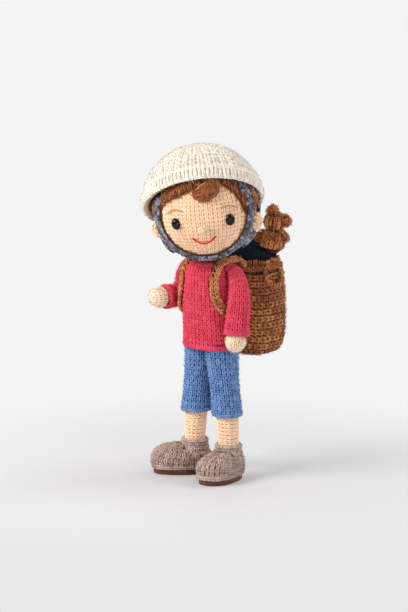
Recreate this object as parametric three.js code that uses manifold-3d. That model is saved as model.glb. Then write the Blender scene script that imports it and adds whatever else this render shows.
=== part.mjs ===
// Crocheted doll of a hiker, with a helmet, a backpack, a folded blanket and a small bear.
// Millimetres. The doll faces -Y, its left hand is at +X and up is +Z.

import * as THREE from 'three';
import { mergeVertices } from 'three/addons/utils/BufferGeometryUtils.js';
import Module from 'manifold-3d';

const wasm = await Module();
wasm.setup();

// Gap between pieces that touch
const CLEARANCE = 0.3;

// Feet and legs
const SOLE_THICKNESS = 4;
const SOLE_INSET = 1.8;
const SHOE_LENGTH = 46;
const SHOE_WIDTH = 26.8;
const SHOE_HEEL_TAPER = 0.16;
const TOE_HEIGHT = 21.5;
const SHOE_COLLAR_HEIGHT = 25.4;
const SHOE_COLLAR_THICKNESS = 1.5;
const SHOE_COLLAR_FLARE = 2.6;
const ANKLE_SET_BACK = 9;
const ANKLE_SPREAD = 16;
const LEFT_TOE_OUT = 6;
const RIGHT_TOE_OUT = 50;
const LEG_RADIUS = 8;
const LEG_FOOT_DEPTH = 16;
const LEG_TUCK = 14;
const LEG_WIRE_RADIUS = 1.2;
const LEG_WIRE_TOP_REACH = 22;

// Knee-length pants
const PANTS_HEM_HEIGHT = 47;
const PANTS_LENGTH = 50;
const PANTS_TUCK = 4;
const PANTS_HEM_RADIUS = 11.2;
const PANTS_KNEE_RADIUS = 10.4;
const PANTS_HIP_WIDTH = 11.4;
const PANTS_HIP_DEPTH = 14.6;
const PANTS_HEM_SPREAD = 14.7;
const PANTS_HIP_SPREAD = 9;
const PANTS_HEM_RECESS = 3;
const PANTS_HEM_WALL = 1.7;
const CROTCH_GAP = 0.15;

// Sweater body
const TORSO_HEM_HALF_WIDTH = 22;
const TORSO_WAIST_HALF_WIDTH = 20.2;
const TORSO_SHOULDER_HALF_WIDTH = 17.2;
const TORSO_NECK_HALF_WIDTH = 8.5;
const TORSO_DEPTH_SHARE = 0.84;
const SHOULDER_RISE = 57;
const NECK_RISE = 67;
const TORSO_LEAN = 5;

// Head, in the head's own frame, with its face towards -Y
const HEAD_RADIUS = 36.8;
const HEAD_FORWARD = 7;
const HEAD_SEAT = 36;
const HEAD_TURN = 36;
const HEAD_TILT = 5.5;
const NECK_POST_RADIUS = 2.5;
const NECK_POST_IN_TORSO = 24;
const NECK_POST_IN_HEAD = 22;

// Face
const EYE_AZIMUTH = 32;
const EYE_ELEVATION = -6.5;
const EYE_WIDTH = 6;
const EYE_HEIGHT = 8;
const EYE_BULGE = 2.6;
const EYE_SHANK_RADIUS = 1.4;
const EYE_SHANK_LENGTH = 11;
const EYE_WASHER_RADIUS = 4.2;
const EYE_WASHER_THICKNESS = 1.4;
const EYE_WASHER_DEPTH = 6;
const NOSE_ELEVATION = -14.5;
const NOSE_WIDTH = 7;
const NOSE_HEIGHT = 5.4;
const NOSE_BULGE = 3;
const BROW_THREAD = 0.9;
const BROW_PLACES = [[22, 8], [33, 9.6], [44, 4.6]];
const SMILE_THREAD = 1.1;
const SMILE_HALF_AZIMUTH = 14.6;
const SMILE_END_ELEVATION = -24;
const SMILE_MIDDLE_ELEVATION = -32.2;
const EAR_AZIMUTH = 90;
const EAR_ELEVATION = -20.5;
const EAR_HEIGHT = 13;
const EAR_DEPTH = 6.4;
const EAR_REACH = 5.4;

// Hair
const HAIR_THICKNESS = 2.6;
const FRINGE_THICKNESS = 2.9;
const FRINGE_WIDTH = 12;

// Helmet and its straps
const HELMET_TILT = 35;
const HELMET_ROLL = 4;
const HELMET_LEAN = 1.6;
const HELMET_THICKNESS = 5.4;
const HELMET_CROWN = 7;
const RIM_LEVEL = 3.6;
const RIM_HEIGHT = 9.6;
const RIM_SWELL = 1.1;
const HEAD_STRAP_THICKNESS = 2.4;
const CHIN_STRAP_WIDTH = 10.4;
const CHIN_STRAP_ANGLE = 63.5;
const CHIN_STRAP_TUCK = 6;
const REAR_STRAP_WIDTH = 6;
const REAR_STRAP_SUNK = 1.2;
const REAR_STRAP_PLACES = [[86, 30], [99, 13], [106, -3], [106, -18], [99, -31], [85, -39.5], [68, -44]];

// Arms: the left one hangs and the right one is bent at the elbow.
// The stations are [outward, forward, down] in shares of the hanging arm's drop
const ARM_DROP = 43;
const LEFT_ARM_STATIONS = [
  [0, 0, 0], [0.105, 0.01, 0.023], [0.223, 0.06, 0.186], [0.316, 0.149, 0.442],
  [0.353, 0.233, 0.744], [0.363, 0.284, 1],
];
const RIGHT_ARM_STATIONS = [
  [0, 0, 0], [0.105, -0.014, 0.023], [0.2, -0.07, 0.2], [0.233, -0.107, 0.395],
  [0.265, -0.009, 0.535], [0.316, 0.186, 0.544], [0.353, 0.326, 0.54],
];
const SHOULDER_ROOT_RADIUS = 6.4;
const SLEEVE_ELBOW_RADIUS = 8.6;
const SLEEVE_CUFF_RADIUS = 9.6;
const CUFF_RECESS = 3.5;
const CUFF_WALL = 1.6;
const HAND_RADIUS = 7.7;
const SHOULDER_WIRE_RADIUS = 1.1;
const SHOULDER_WIRE_IN_SLEEVE = 9;

// Backpack
const BAG_HALF_WIDTH = 29;
const BAG_HALF_DEPTH = 20;
const BAG_BOTTOM = 87;
const BAG_HEIGHT = 70;
const BAG_WALL = 3;
const BAG_SQUARENESS = 3.2;
const BAG_NECK_SHARE = 0.86;
const BAG_NECK_DROP = 5;
const BAG_LEVELS = [0, 0.03, 0.09, 0.2, 0.4, 0.66, 0.8, 0.87, 0.93, 0.97];
const BAG_BACK_GAP = 0.4;
const BAG_STRAP_WIDTH = 6.5;
const BAG_STRAP_THICKNESS = 2.6;
const BAG_STRAP_SPACING = 14.5;
const NECK_CHAIN_RADIUS = 1.2;
const NECK_CHAIN_LOOP_WIDTH = 18;
const NECK_CHAIN_LOOP_DROP = 13;

// Blanket in the mouth of the backpack
const BLANKET_PLUG_DEPTH = 9;
const BLANKET_CROWN = 12;
const BLANKET_PULL_ANGLE = 50;

// Small bear
const BEAR_X = 18;
const BEAR_BODY_RADIUS = 9;
const BEAR_BODY_LENGTH = 18;
const BEAR_SUNK = 8;
const BEAR_HEAD_RADIUS = 7.4;
const BEAR_EAR_RADIUS = 4.4;
const BEAR_MUZZLE_RADIUS = 3.4;
const BEAR_ARM_RADIUS = 3.1;
const BEAR_ARM_LENGTH = 7;

// Colours
const FINISH = {
  cream: { color: 0xebe4d7, roughness: 0.95 },
  brownHair: { color: 0x82482a, roughness: 0.95 },
  greyStrap: { color: 0x696978, roughness: 0.95 },
  peach: { color: 0xf0cdaa, roughness: 0.95 },
  crimson: { color: 0xcd3250, roughness: 0.95 },
  blue: { color: 0x5a7db4, roughness: 0.95 },
  greige: { color: 0xaa9182, roughness: 0.95 },
  leather: { color: 0x5f2d23, roughness: 0.6 },
  bagBrown: { color: 0x8c5a32, roughness: 0.95 },
  strapTan: { color: 0xa56e3c, roughness: 0.95 },
  teal: { color: 0x0f323c, roughness: 0.95 },
  bearBrown: { color: 0x87512d, roughness: 0.95 },
  black: { color: 0x0c0c0e, roughness: 0.15 },
  brownThread: { color: 0x9a6a48, roughness: 0.9 },
  redThread: { color: 0xdc2832, roughness: 0.9 },
  wire: { color: 0xb4b6ba, roughness: 0.35, metalness: 1 },
  wood: { color: 0xc8a878, roughness: 0.7 },
  plastic: { color: 0xe8e8e4, roughness: 0.5 },
};

const rad = THREE.MathUtils.degToRad;
const lerp = THREE.MathUtils.lerp;
const v3 = (x, y, z) => new THREE.Vector3(x, y, z);

// A closed body from any geometry: shared corners merged, slivers dropped, faces outwards
function closed(geometry) {
  const bare = new THREE.BufferGeometry();
  bare.setAttribute('position', geometry.getAttribute('position').clone());
  if (geometry.index) bare.setIndex(geometry.index.clone());
  const merged = mergeVertices(bare, 1e-4);
  const p = merged.getAttribute('position');
  const kept = [];
  let volume = 0;
  const a = v3();
  const b = v3();
  const c = v3();
  for (let i = 0; i < merged.index.count; i += 3) {
    const t = [merged.index.getX(i), merged.index.getX(i + 1), merged.index.getX(i + 2)];
    if (t[0] === t[1] || t[1] === t[2] || t[2] === t[0]) continue;
    kept.push(...t);
    a.fromBufferAttribute(p, t[0]);
    b.fromBufferAttribute(p, t[1]);
    c.fromBufferAttribute(p, t[2]);
    volume += a.dot(b.cross(c));
  }
  if (volume < 0) {
    for (let i = 0; i < kept.length; i += 3) [kept[i], kept[i + 1]] = [kept[i + 1], kept[i]];
  }
  merged.setIndex(kept);
  return merged;
}

function toSolid(geometry) {
  const g = closed(geometry);
  return new wasm.Manifold(new wasm.Mesh({
    numProp: 3,
    vertProperties: new Float32Array(g.getAttribute('position').array),
    triVerts: new Uint32Array(g.index.array),
  }));
}

function toGeometry(solid) {
  const mesh = solid.getMesh();
  const geometry = new THREE.BufferGeometry();
  geometry.setAttribute('position', new THREE.BufferAttribute(new Float32Array(mesh.vertProperties), 3));
  geometry.setIndex(new THREE.BufferAttribute(new Uint32Array(mesh.triVerts), 1));
  return geometry;
}

// The first geometry with all the others cut away
function cut(geometry, ...tools) {
  return toGeometry(tools.reduce((solid, tool) => solid.subtract(toSolid(tool)), toSolid(geometry)));
}

// The main body of a shape that cuts have left with loose crumbs
function mainBody(geometry) {
  const bodies = toSolid(geometry).decompose();
  return toGeometry(bodies.reduce((most, body) => (body.volume() > most.volume() ? body : most)));
}

function join(geometry, ...others) {
  return toGeometry(others.reduce((solid, other) => solid.add(toSolid(other)), toSolid(geometry)));
}

// A skin through rings of equally many points, closed at both ends or end to end
function loft(rings, endless = false) {
  const sides = rings[0].length;
  const positions = rings.flat().flatMap((p) => [p.x, p.y, p.z]);
  const index = [];
  const last = endless ? rings.length : rings.length - 1;
  for (let i = 0; i < last; i++) {
    const low = i * sides;
    const high = ((i + 1) % rings.length) * sides;
    for (let j = 0; j < sides; j++) {
      const k = (j + 1) % sides;
      index.push(low + j, low + k, high + k, low + j, high + k, high + j);
    }
  }
  if (!endless) {
    [0, rings.length - 1].forEach((i) => {
      const centre = rings[i].reduce((sum, p) => sum.add(p), v3()).divideScalar(sides);
      const middle = positions.push(centre.x, centre.y, centre.z) / 3 - 1;
      for (let j = 0; j < sides; j++) {
        const edge = [i * sides + j, i * sides + ((j + 1) % sides)];
        index.push(...(i === 0 ? [middle, edge[1], edge[0]] : [middle, edge[0], edge[1]]));
      }
    });
  }
  const geometry = new THREE.BufferGeometry();
  geometry.setAttribute('position', new THREE.Float32BufferAttribute(positions, 3));
  geometry.setIndex(index);
  return closed(geometry);
}

// Points of a rounded rectangle or ellipse; a power of 2 is an ellipse, and more is squarer
function superellipse(halfWidth, halfDepth, power, sides) {
  return Array.from({ length: sides }, (_, j) => {
    const angle = (2 * Math.PI * j) / sides;
    const x = Math.cos(angle);
    const y = Math.sin(angle);
    return [
      halfWidth * Math.sign(x) * Math.abs(x) ** (2 / power),
      halfDepth * Math.sign(y) * Math.abs(y) ** (2 / power),
    ];
  });
}

// A value that runs smoothly through [place, value] pairs
function through(pairs, at) {
  const last = pairs.length - 1;
  if (at <= pairs[0][0]) return pairs[0][1];
  if (at >= pairs[last][0]) return pairs[last][1];
  const i = pairs.findIndex(([place]) => place > at) - 1;
  const slope = (k) => {
    const before = pairs[Math.max(k - 1, 0)];
    const after = pairs[Math.min(k + 1, last)];
    return (after[1] - before[1]) / (after[0] - before[0]);
  };
  const span = pairs[i + 1][0] - pairs[i][0];
  const t = (at - pairs[i][0]) / span;
  const blend = 3 * t ** 2 - 2 * t ** 3;
  const leave = (t ** 3 - 2 * t ** 2 + t) * span * slope(i);
  const arrive = (t ** 3 - t ** 2) * span * slope(i + 1);
  return lerp(pairs[i][1], pairs[i + 1][1], blend) + leave + arrive;
}

// A stuffed tube along a curve, with a radius for each share of its length and domed ends
function stuffedTube(points, radiusAt, { steps = 14, sides = 20, startDome = 0, endDome = 0 } = {}) {
  const curve = new THREE.CatmullRomCurve3(points, false, 'centripetal');
  const frames = curve.computeFrenetFrames(steps, false);
  const ring = (i, radius, shift) => {
    const centre = curve.getPointAt(i / steps).addScaledVector(frames.tangents[i], shift);
    return Array.from({ length: sides }, (_, j) => {
      const angle = (2 * Math.PI * j) / sides;
      return centre.clone()
        .addScaledVector(frames.normals[i], radius * Math.cos(angle))
        .addScaledVector(frames.binormals[i], radius * Math.sin(angle));
    });
  };
  const rings = Array.from({ length: steps + 1 }, (_, i) => ring(i, radiusAt(i / steps), 0));
  const dome = [25, 50, 75].map(rad);
  if (startDome > 0) {
    const cap = dome.map((t) => ring(0, radiusAt(0) * Math.cos(t), -startDome * Math.sin(t)));
    rings.unshift(...cap.reverse());
  }
  if (endDome > 0) {
    rings.push(...dome.map((t) => ring(steps, radiusAt(1) * Math.cos(t), endDome * Math.sin(t))));
  }
  return loft(rings);
}

// A round rod or cord along a curve
function rod(points, radius, { steps = 12, sides = 8 } = {}) {
  return stuffedTube(points, () => radius, { steps, sides });
}

// A round solid about +Z from [radius, height] pairs
function turned(profile, segments) {
  const lathe = new THREE.LatheGeometry(profile.map(([r, h]) => new THREE.Vector2(r, h)), segments);
  return closed(lathe.rotateX(Math.PI / 2));
}

// A ball with three half-sizes
function ball(x, y, z, across = 20, up = 14) {
  const sphere = new THREE.SphereGeometry(1, across, up).rotateX(Math.PI / 2);
  return closed(sphere.scale(x, y, z));
}

// Direction for an azimuth from the face and an elevation, in the head's own frame
function headDirection(azimuth, elevation) {
  const a = rad(azimuth);
  const e = rad(elevation);
  return v3(Math.sin(a) * Math.cos(e), -Math.cos(a) * Math.cos(e), Math.sin(e));
}

// A band that lies on a ball along [azimuth, elevation] places, rounded across its width
function headBand(places, widthAt, thickness, { inner, steps = 24, sides = 8, grow = 0 }) {
  const directions = places.map(([azimuth, elevation]) => headDirection(azimuth, elevation));
  const curve = new THREE.CatmullRomCurve3(directions, false, 'centripetal');
  const rings = [];
  for (let i = 0; i <= steps; i++) {
    const t = i / steps;
    const out = curve.getPointAt(t).normalize();
    const along = curve.getTangentAt(t);
    const side = v3().crossVectors(out, along).normalize();
    const middle = inner + thickness / 2;
    rings.push(superellipse(widthAt(t) / 2 + grow, thickness / 2 + grow, 2.6, sides).map(([s, h]) => {
      const angle = s / middle;
      return out.clone().multiplyScalar(Math.cos(angle)).addScaledVector(side, Math.sin(angle))
        .multiplyScalar(middle + h);
    }));
  }
  return loft(rings);
}

// Turns a shape made about +Z so that +Z points along a direction
function aim(geometry, direction) {
  const turn = new THREE.Quaternion().setFromUnitVectors(v3(0, 0, 1), direction.clone().normalize());
  return geometry.applyQuaternion(turn);
}

const doll = new THREE.Group();
doll.name = 'crocheted_doll';

function addPiece(parent, name, geometry, finish) {
  const mesh = new THREE.Mesh(geometry, new THREE.MeshStandardMaterial({ metalness: 0, ...finish }));
  mesh.name = name;
  parent.add(mesh);
  return mesh;
}

// Heights that follow from the driving sizes
const waistZ = PANTS_HEM_HEIGHT + PANTS_LENGTH;
const shoulderZ = waistZ + SHOULDER_RISE;
const neckZ = waistZ + NECK_RISE;
const headCentre = v3(0, -HEAD_FORWARD, neckZ + HEAD_SEAT);
const hairInner = HEAD_RADIUS + CLEARANCE;
const hairOuter = hairInner + HAIR_THICKNESS;
const helmetInner = hairOuter + CLEARANCE;
const helmetOuter = helmetInner + HELMET_THICKNESS;
const headStrapOuter = hairInner + HEAD_STRAP_THICKNESS;

// Legs: one centre line for the wire, the shin and the pants
function legLine(side) {
  return [
    v3(side * ANKLE_SPREAD, 0, SOLE_THICKNESS + 3),
    v3(side * ANKLE_SPREAD, 0, SHOE_COLLAR_HEIGHT),
    v3(side * PANTS_HEM_SPREAD, 0, PANTS_HEM_HEIGHT),
    v3(side * PANTS_HIP_SPREAD, 0, waistZ),
    v3(side * (PANTS_HIP_SPREAD - 1.5), 0, waistZ + LEG_WIRE_TOP_REACH),
  ];
}

function legX(side, z) {
  const curve = new THREE.CatmullRomCurve3(legLine(side), false, 'centripetal');
  const points = curve.getPoints(60);
  const i = Math.max(points.findIndex((p) => p.z >= z), 1);
  const [a, b] = [points[i - 1], points[i]];
  return lerp(a.x, b.x, THREE.MathUtils.clamp((z - a.z) / (b.z - a.z), 0, 1));
}

function legWire(side, grow = 0) {
  return rod(legLine(side), LEG_WIRE_RADIUS + grow, { steps: 8, sides: 6 });
}

// The shin swells a little at the calf and stands in the shoe
function shin(side, grow = 0) {
  const bottom = SHOE_COLLAR_HEIGHT - LEG_FOOT_DEPTH;
  const top = PANTS_HEM_HEIGHT + LEG_TUCK;
  const radius = [[0, LEG_RADIUS], [0.35, LEG_RADIUS - 0.3], [0.6, LEG_RADIUS + 0.3], [1, LEG_RADIUS]];
  const steps = 6;
  const rings = Array.from({ length: steps + 1 }, (_, i) => {
    const z = lerp(bottom - grow, top + grow, i / steps);
    const r = through(radius, i / steps) + grow;
    return superellipse(r, r, 2, 16).map(([x, y]) => v3(legX(side, z) + x, y, z));
  });
  return loft(rings);
}

function pantsLeg(side, grow = 0) {
  const top = waistZ + PANTS_TUCK;
  const width = [
    [0, PANTS_HEM_RADIUS - 0.5], [0.03, PANTS_HEM_RADIUS], [0.12, PANTS_HEM_RADIUS - 0.2],
    [0.4, PANTS_KNEE_RADIUS], [1, PANTS_HIP_WIDTH],
  ];
  const depth = [
    [0, PANTS_HEM_RADIUS - 0.5], [0.03, PANTS_HEM_RADIUS], [0.12, PANTS_HEM_RADIUS - 0.2],
    [0.4, PANTS_KNEE_RADIUS + 0.6], [1, PANTS_HIP_DEPTH],
  ];
  const steps = [0, 0.03, 0.12, 0.3, 0.5, 0.75, 1];
  const rings = steps.map((t) => {
    const z = lerp(PANTS_HEM_HEIGHT - grow, top + grow, t);
    return superellipse(through(width, t) + grow, through(depth, t) + grow, 2.2, 22)
      .map(([x, y]) => v3(legX(side, z) + x, y, z));
  });
  return loft(rings);
}

// Everything across the middle plane is kept off one side's leg
function otherHalf(side) {
  const size = 200;
  const box = new THREE.BoxGeometry(size, size, size);
  return closed(box.translate(side * (CROTCH_GAP - size / 2), 0, waistZ));
}

function hemRecess(side) {
  const radius = PANTS_HEM_RADIUS - PANTS_HEM_WALL;
  const depth = PANTS_HEM_RECESS + 1;
  const recess = new THREE.CylinderGeometry(radius - 0.6, radius, depth, 26).rotateX(Math.PI / 2);
  return closed(recess.translate(legX(side, PANTS_HEM_HEIGHT), 0, PANTS_HEM_HEIGHT - 1 + depth / 2));
}

// Shoe outline about the shoe's middle, toe towards -Y, broad at the toe and narrow at the heel
function shoeOutline(inset, sides = 24) {
  const halfLength = SHOE_LENGTH / 2 - inset;
  const halfWidth = SHOE_WIDTH / 2 - inset;
  return superellipse(halfWidth, halfLength, 2.25, sides)
    .map(([x, y]) => [x * (1 - SHOE_HEEL_TAPER * (y / halfLength)), y]);
}

function shoeUpper() {
  const bottom = SOLE_THICKNESS + CLEARANCE;
  const height = TOE_HEIGHT - bottom;
  const levels = [0, 0.14, 0.35, 0.6, 0.8, 0.93, 0.985];
  const rings = levels.map((t) => {
    const swell = t < 0.35 ? 1 - 0.05 * (1 - t / 0.35) ** 2 : (1 - ((t - 0.35) / 0.66) ** 2.4) ** (1 / 2.4);
    return shoeOutline(0).map(([x, y]) => v3(x * swell, y * lerp(1, swell, 0.9), bottom + t * height));
  });
  return loft(rings);
}

function shoeCollar() {
  const inner = LEG_RADIUS + CLEARANCE;
  const outer = inner + SHOE_COLLAR_THICKNESS;
  const low = SHOE_COLLAR_HEIGHT - LEG_FOOT_DEPTH;
  const top = SHOE_COLLAR_HEIGHT;
  const profile = [
    [0, low], [outer, low], [outer + SHOE_COLLAR_FLARE, low + 4], [outer + 0.5 * SHOE_COLLAR_FLARE, low + 8],
    [outer + 0.4, top - 4.2], [outer, top - 1.6], [outer - 0.6, top - 0.3], [inner + 0.3, top], [0, top],
  ];
  return turned(profile, 24).translate(0, ANKLE_SET_BACK, 0);
}

// Moves a shape from the shoe's own frame to its place under the ankle
function placeShoe(geometry, side, toeOut) {
  return geometry
    .translate(0, -ANKLE_SET_BACK, 0)
    .rotateZ(side * rad(toeOut))
    .translate(side * ANKLE_SPREAD, 0, 0);
}

function sole() {
  const outline = new THREE.Shape(shoeOutline(SOLE_INSET).map(([x, y]) => new THREE.Vector2(x, y)));
  return closed(new THREE.ExtrudeGeometry(outline, { depth: SOLE_THICKNESS, bevelEnabled: false }));
}

// Sweater body: half width, half depth and forward shift for each height
function torsoHalfWidth(z) {
  return through([
    [waistZ, TORSO_HEM_HALF_WIDTH],
    [waistZ + 0.22 * SHOULDER_RISE, TORSO_HEM_HALF_WIDTH - 1.1],
    [waistZ + 0.58 * SHOULDER_RISE, TORSO_WAIST_HALF_WIDTH],
    [shoulderZ - 6, TORSO_SHOULDER_HALF_WIDTH + 0.7],
    [shoulderZ - 1, TORSO_SHOULDER_HALF_WIDTH],
    [lerp(shoulderZ, neckZ, 0.45), lerp(TORSO_SHOULDER_HALF_WIDTH, TORSO_NECK_HALF_WIDTH, 0.3)],
    [neckZ, TORSO_NECK_HALF_WIDTH],
    [neckZ + 6, TORSO_NECK_HALF_WIDTH - 1],
  ], z);
}

const torsoShift = (z) => -TORSO_LEAN * THREE.MathUtils.clamp((z - waistZ) / (0.9 * SHOULDER_RISE), 0, 1);

function torsoRing(z, grow, sides) {
  const half = torsoHalfWidth(z);
  return superellipse(half + grow, half * TORSO_DEPTH_SHARE + grow, 2.15, sides)
    .map(([x, y]) => v3(x, y + torsoShift(z), z));
}

// A place on the sweater at a height and an angle from straight ahead, lifted off by a gap
function onTorso(z, angle, lift) {
  const half = torsoHalfWidth(z);
  const a = rad(angle);
  return v3(
    (half + lift) * Math.sin(a),
    torsoShift(z) - (half * TORSO_DEPTH_SHARE + lift) * Math.cos(a),
    z,
  );
}

function torso(grow = 0) {
  const levels = [
    waistZ, waistZ + 1.2, waistZ + 8, waistZ + 20, waistZ + 34, shoulderZ - 6,
    shoulderZ - 1, shoulderZ + 3, shoulderZ + 6.5, neckZ, neckZ + 6,
  ];
  return loft(levels.map((z, i) => torsoRing(z, i === 0 ? grow - 0.8 : grow, 28)));
}

function neckPost(grow = 0) {
  const bottom = neckZ - NECK_POST_IN_TORSO - grow;
  const top = headCentre.z - HEAD_RADIUS + NECK_POST_IN_HEAD + grow;
  const radius = NECK_POST_RADIUS + grow;
  const post = new THREE.CylinderGeometry(radius, radius, top - bottom, 16);
  return closed(post.rotateX(Math.PI / 2).translate(0, headCentre.y, (top + bottom) / 2));
}

function shoulderWire(grow = 0) {
  const half = TORSO_SHOULDER_HALF_WIDTH + SHOULDER_WIRE_IN_SLEEVE + grow;
  const radius = SHOULDER_WIRE_RADIUS + grow;
  const wire = new THREE.CylinderGeometry(radius, radius, 2 * half, 12).rotateZ(Math.PI / 2);
  return closed(wire.translate(0, 0, shoulderZ));
}

function headBall(radius, across = 28, up = 17) {
  return ball(radius, radius, radius, across, up);
}

// Room for the turning head: a ball whose flat facets stay outside the clearance
function headSeat() {
  const across = 28;
  const up = 18;
  const sagRoom = 1 / (Math.cos(Math.PI / across) * Math.cos(Math.PI / (2 * up)));
  const seat = headBall((HEAD_RADIUS + CLEARANCE) * sagRoom, across, up);
  return seat.translate(headCentre.x, headCentre.y, headCentre.z);
}

addPiece(doll, 'torso', cut(
  torso(),
  headSeat(),
  join(cut(pantsLeg(1, CLEARANCE), otherHalf(1)), cut(pantsLeg(-1, CLEARANCE), otherHalf(-1)),
    closed(new THREE.BoxGeometry(1, 2 * PANTS_HIP_DEPTH, PANTS_TUCK + CLEARANCE + 1)
      .translate(0, 0, waistZ + (PANTS_TUCK + CLEARANCE - 1) / 2))),
  neckPost(CLEARANCE),
  shoulderWire(CLEARANCE),
  legWire(1, CLEARANCE),
  legWire(-1, CLEARANCE),
), FINISH.crimson);

[[1, 'left', LEFT_TOE_OUT], [-1, 'right', RIGHT_TOE_OUT]].forEach(([side, name, toeOut]) => {
  addPiece(doll, `pants_leg_${name}`, cut(
    pantsLeg(side), otherHalf(side), shin(side, CLEARANCE), hemRecess(side), legWire(side, CLEARANCE),
  ), FINISH.blue);
  addPiece(doll, `leg_${name}`, cut(shin(side), legWire(side, CLEARANCE)), FINISH.peach);
  addPiece(doll, `leg_wire_${name}`, legWire(side), FINISH.wire);
  const shoe = placeShoe(join(shoeUpper(), shoeCollar()), side, toeOut);
  addPiece(doll, `shoe_${name}`, cut(shoe, shin(side, CLEARANCE), legWire(side, CLEARANCE)), FINISH.greige);
  addPiece(doll, `sole_${name}`, placeShoe(sole(), side, toeOut), FINISH.leather);
});
addPiece(doll, 'neck_post', neckPost(), FINISH.wood);
addPiece(doll, 'shoulder_wire', shoulderWire(), FINISH.wire);

// What an arm must keep clear of as it swings about the shoulder wire
function swingRoom(side) {
  const reach = 90;
  const strapStart = SHOULDER_RISE * 0.4;
  const room = CLEARANCE + 0.2;
  const edge = (r) => {
    const half = torsoHalfWidth(Math.max(shoulderZ - Math.max(r, SHOULDER_ROOT_RADIUS), waistZ));
    return half + room + (r > strapStart ? BAG_STRAP_THICKNESS + 2 * CLEARANCE + 0.4 : 0);
  };
  const radii = [SHOULDER_ROOT_RADIUS, 12, 18, strapStart, strapStart + 1.5, 36, 46, SHOULDER_RISE, reach];
  const profile = [[0, edge(0)], ...radii.map((r) => [r, edge(r)]), [reach, -1], [0, -1]];
  return turned(profile, 28).rotateY(side * Math.PI / 2).translate(0, 0, shoulderZ);
}

// Arms: a line from the shoulder to the wrist, and the hand a little further on
const rootX = TORSO_SHOULDER_HALF_WIDTH + 0.6;
const armPath = (side, stations) => stations.map(([out, forward, down]) => v3(
  side * (rootX + ARM_DROP * out), -ARM_DROP * forward, shoulderZ - ARM_DROP * down,
));
const armLine = { left: armPath(1, LEFT_ARM_STATIONS), right: armPath(-1, RIGHT_ARM_STATIONS) };
const sleeveRadius = {
  left: [[0, SHOULDER_ROOT_RADIUS], [0.12, SHOULDER_ROOT_RADIUS + 0.2], [0.5, SLEEVE_ELBOW_RADIUS],
    [0.93, SLEEVE_CUFF_RADIUS], [1, SLEEVE_CUFF_RADIUS - 0.3]],
  right: [[0, SHOULDER_ROOT_RADIUS], [0.12, SHOULDER_ROOT_RADIUS + 0.2], [0.4, SLEEVE_ELBOW_RADIUS + 0.2],
    [0.7, SLEEVE_ELBOW_RADIUS], [0.94, SLEEVE_CUFF_RADIUS - 0.6], [1, SLEEVE_CUFF_RADIUS - 0.9]],
};

function handPlace(name) {
  const line = armLine[name];
  const wrist = line[line.length - 1];
  const along = wrist.clone().sub(line[line.length - 2]).normalize();
  return { wrist, along, centre: wrist.clone().addScaledVector(along, HAND_RADIUS - CUFF_RECESS + 0.4) };
}

function hand(name, grow = 0) {
  const { centre, along } = handPlace(name);
  const palm = ball(HAND_RADIUS + grow, HAND_RADIUS + grow, HAND_RADIUS * 1.06 + grow, 16, 10);
  return aim(palm, along).translate(centre.x, centre.y, centre.z);
}

function cuffRecess(name) {
  const { wrist, along } = handPlace(name);
  const radius = (name === 'left' ? SLEEVE_CUFF_RADIUS : SLEEVE_CUFF_RADIUS - 0.9) - CUFF_WALL;
  const bore = new THREE.CylinderGeometry(radius, radius - 0.8, CUFF_RECESS + 2, 20).rotateX(Math.PI / 2);
  return aim(closed(bore), along).translate(wrist.x, wrist.y, wrist.z).translate(
    -along.x * (CUFF_RECESS / 2 - 1), -along.y * (CUFF_RECESS / 2 - 1), -along.z * (CUFF_RECESS / 2 - 1),
  );
}

[['left', 1], ['right', -1]].forEach(([name, side]) => {
  const arm = new THREE.Group();
  arm.name = `arm_${name}`;
  doll.add(arm);
  const sleeve = stuffedTube(armLine[name], (t) => through(sleeveRadius[name], t), { steps: 11, sides: 16 });
  addPiece(arm, `sleeve_${name}`, cut(
    sleeve, swingRoom(side), cuffRecess(name), hand(name, CLEARANCE), shoulderWire(CLEARANCE),
  ), FINISH.crimson);
  addPiece(arm, `hand_${name}`, hand(name), FINISH.peach);
});

// Head: everything in the head's own frame, then turned and tilted as a group
const head = new THREE.Group();
head.name = 'head_parts';
head.position.copy(headCentre);
head.rotation.set(0, -rad(HEAD_TILT), rad(HEAD_TURN), 'ZYX');
head.updateMatrix();
doll.add(head);
const intoHead = head.matrix.clone().invert();

const eyeDirection = (side) => headDirection(side * EYE_AZIMUTH, EYE_ELEVATION);

// Upright places on the face: +Z out of the head, +Y up
function onFace(geometry, direction, radius) {
  const right = v3().crossVectors(v3(0, 0, 1), direction).normalize();
  const up = v3().crossVectors(direction, right);
  const turn = new THREE.Matrix4().makeBasis(right, up, direction);
  return geometry.applyMatrix4(turn).translate(
    direction.x * radius, direction.y * radius, direction.z * radius,
  );
}

function eye(side) {
  const dome = cut(ball(EYE_WIDTH / 2, EYE_HEIGHT / 2, EYE_BULGE, 16, 8),
    closed(new THREE.BoxGeometry(20, 20, 10).translate(0, 0, -5)));
  const shank = new THREE.CylinderGeometry(EYE_SHANK_RADIUS, EYE_SHANK_RADIUS, EYE_SHANK_LENGTH + 1, 10)
    .rotateX(Math.PI / 2).translate(0, 0, (1 - EYE_SHANK_LENGTH) / 2);
  return onFace(join(dome, closed(shank)), eyeDirection(side), HEAD_RADIUS + CLEARANCE);
}

function eyeWasher(side, grow = 0) {
  const bore = EYE_SHANK_RADIUS + CLEARANCE;
  const radius = EYE_WASHER_RADIUS + grow;
  const half = EYE_WASHER_THICKNESS / 2 + grow;
  const profile = grow > 0
    ? [[0, -half], [radius, -half], [radius, half], [0, half]]
    : [[bore, -half], [radius, -half], [radius, half], [bore, half], [bore, -half]];
  return onFace(turned(profile, 16), eyeDirection(side), HEAD_RADIUS - EYE_WASHER_DEPTH);
}

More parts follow.
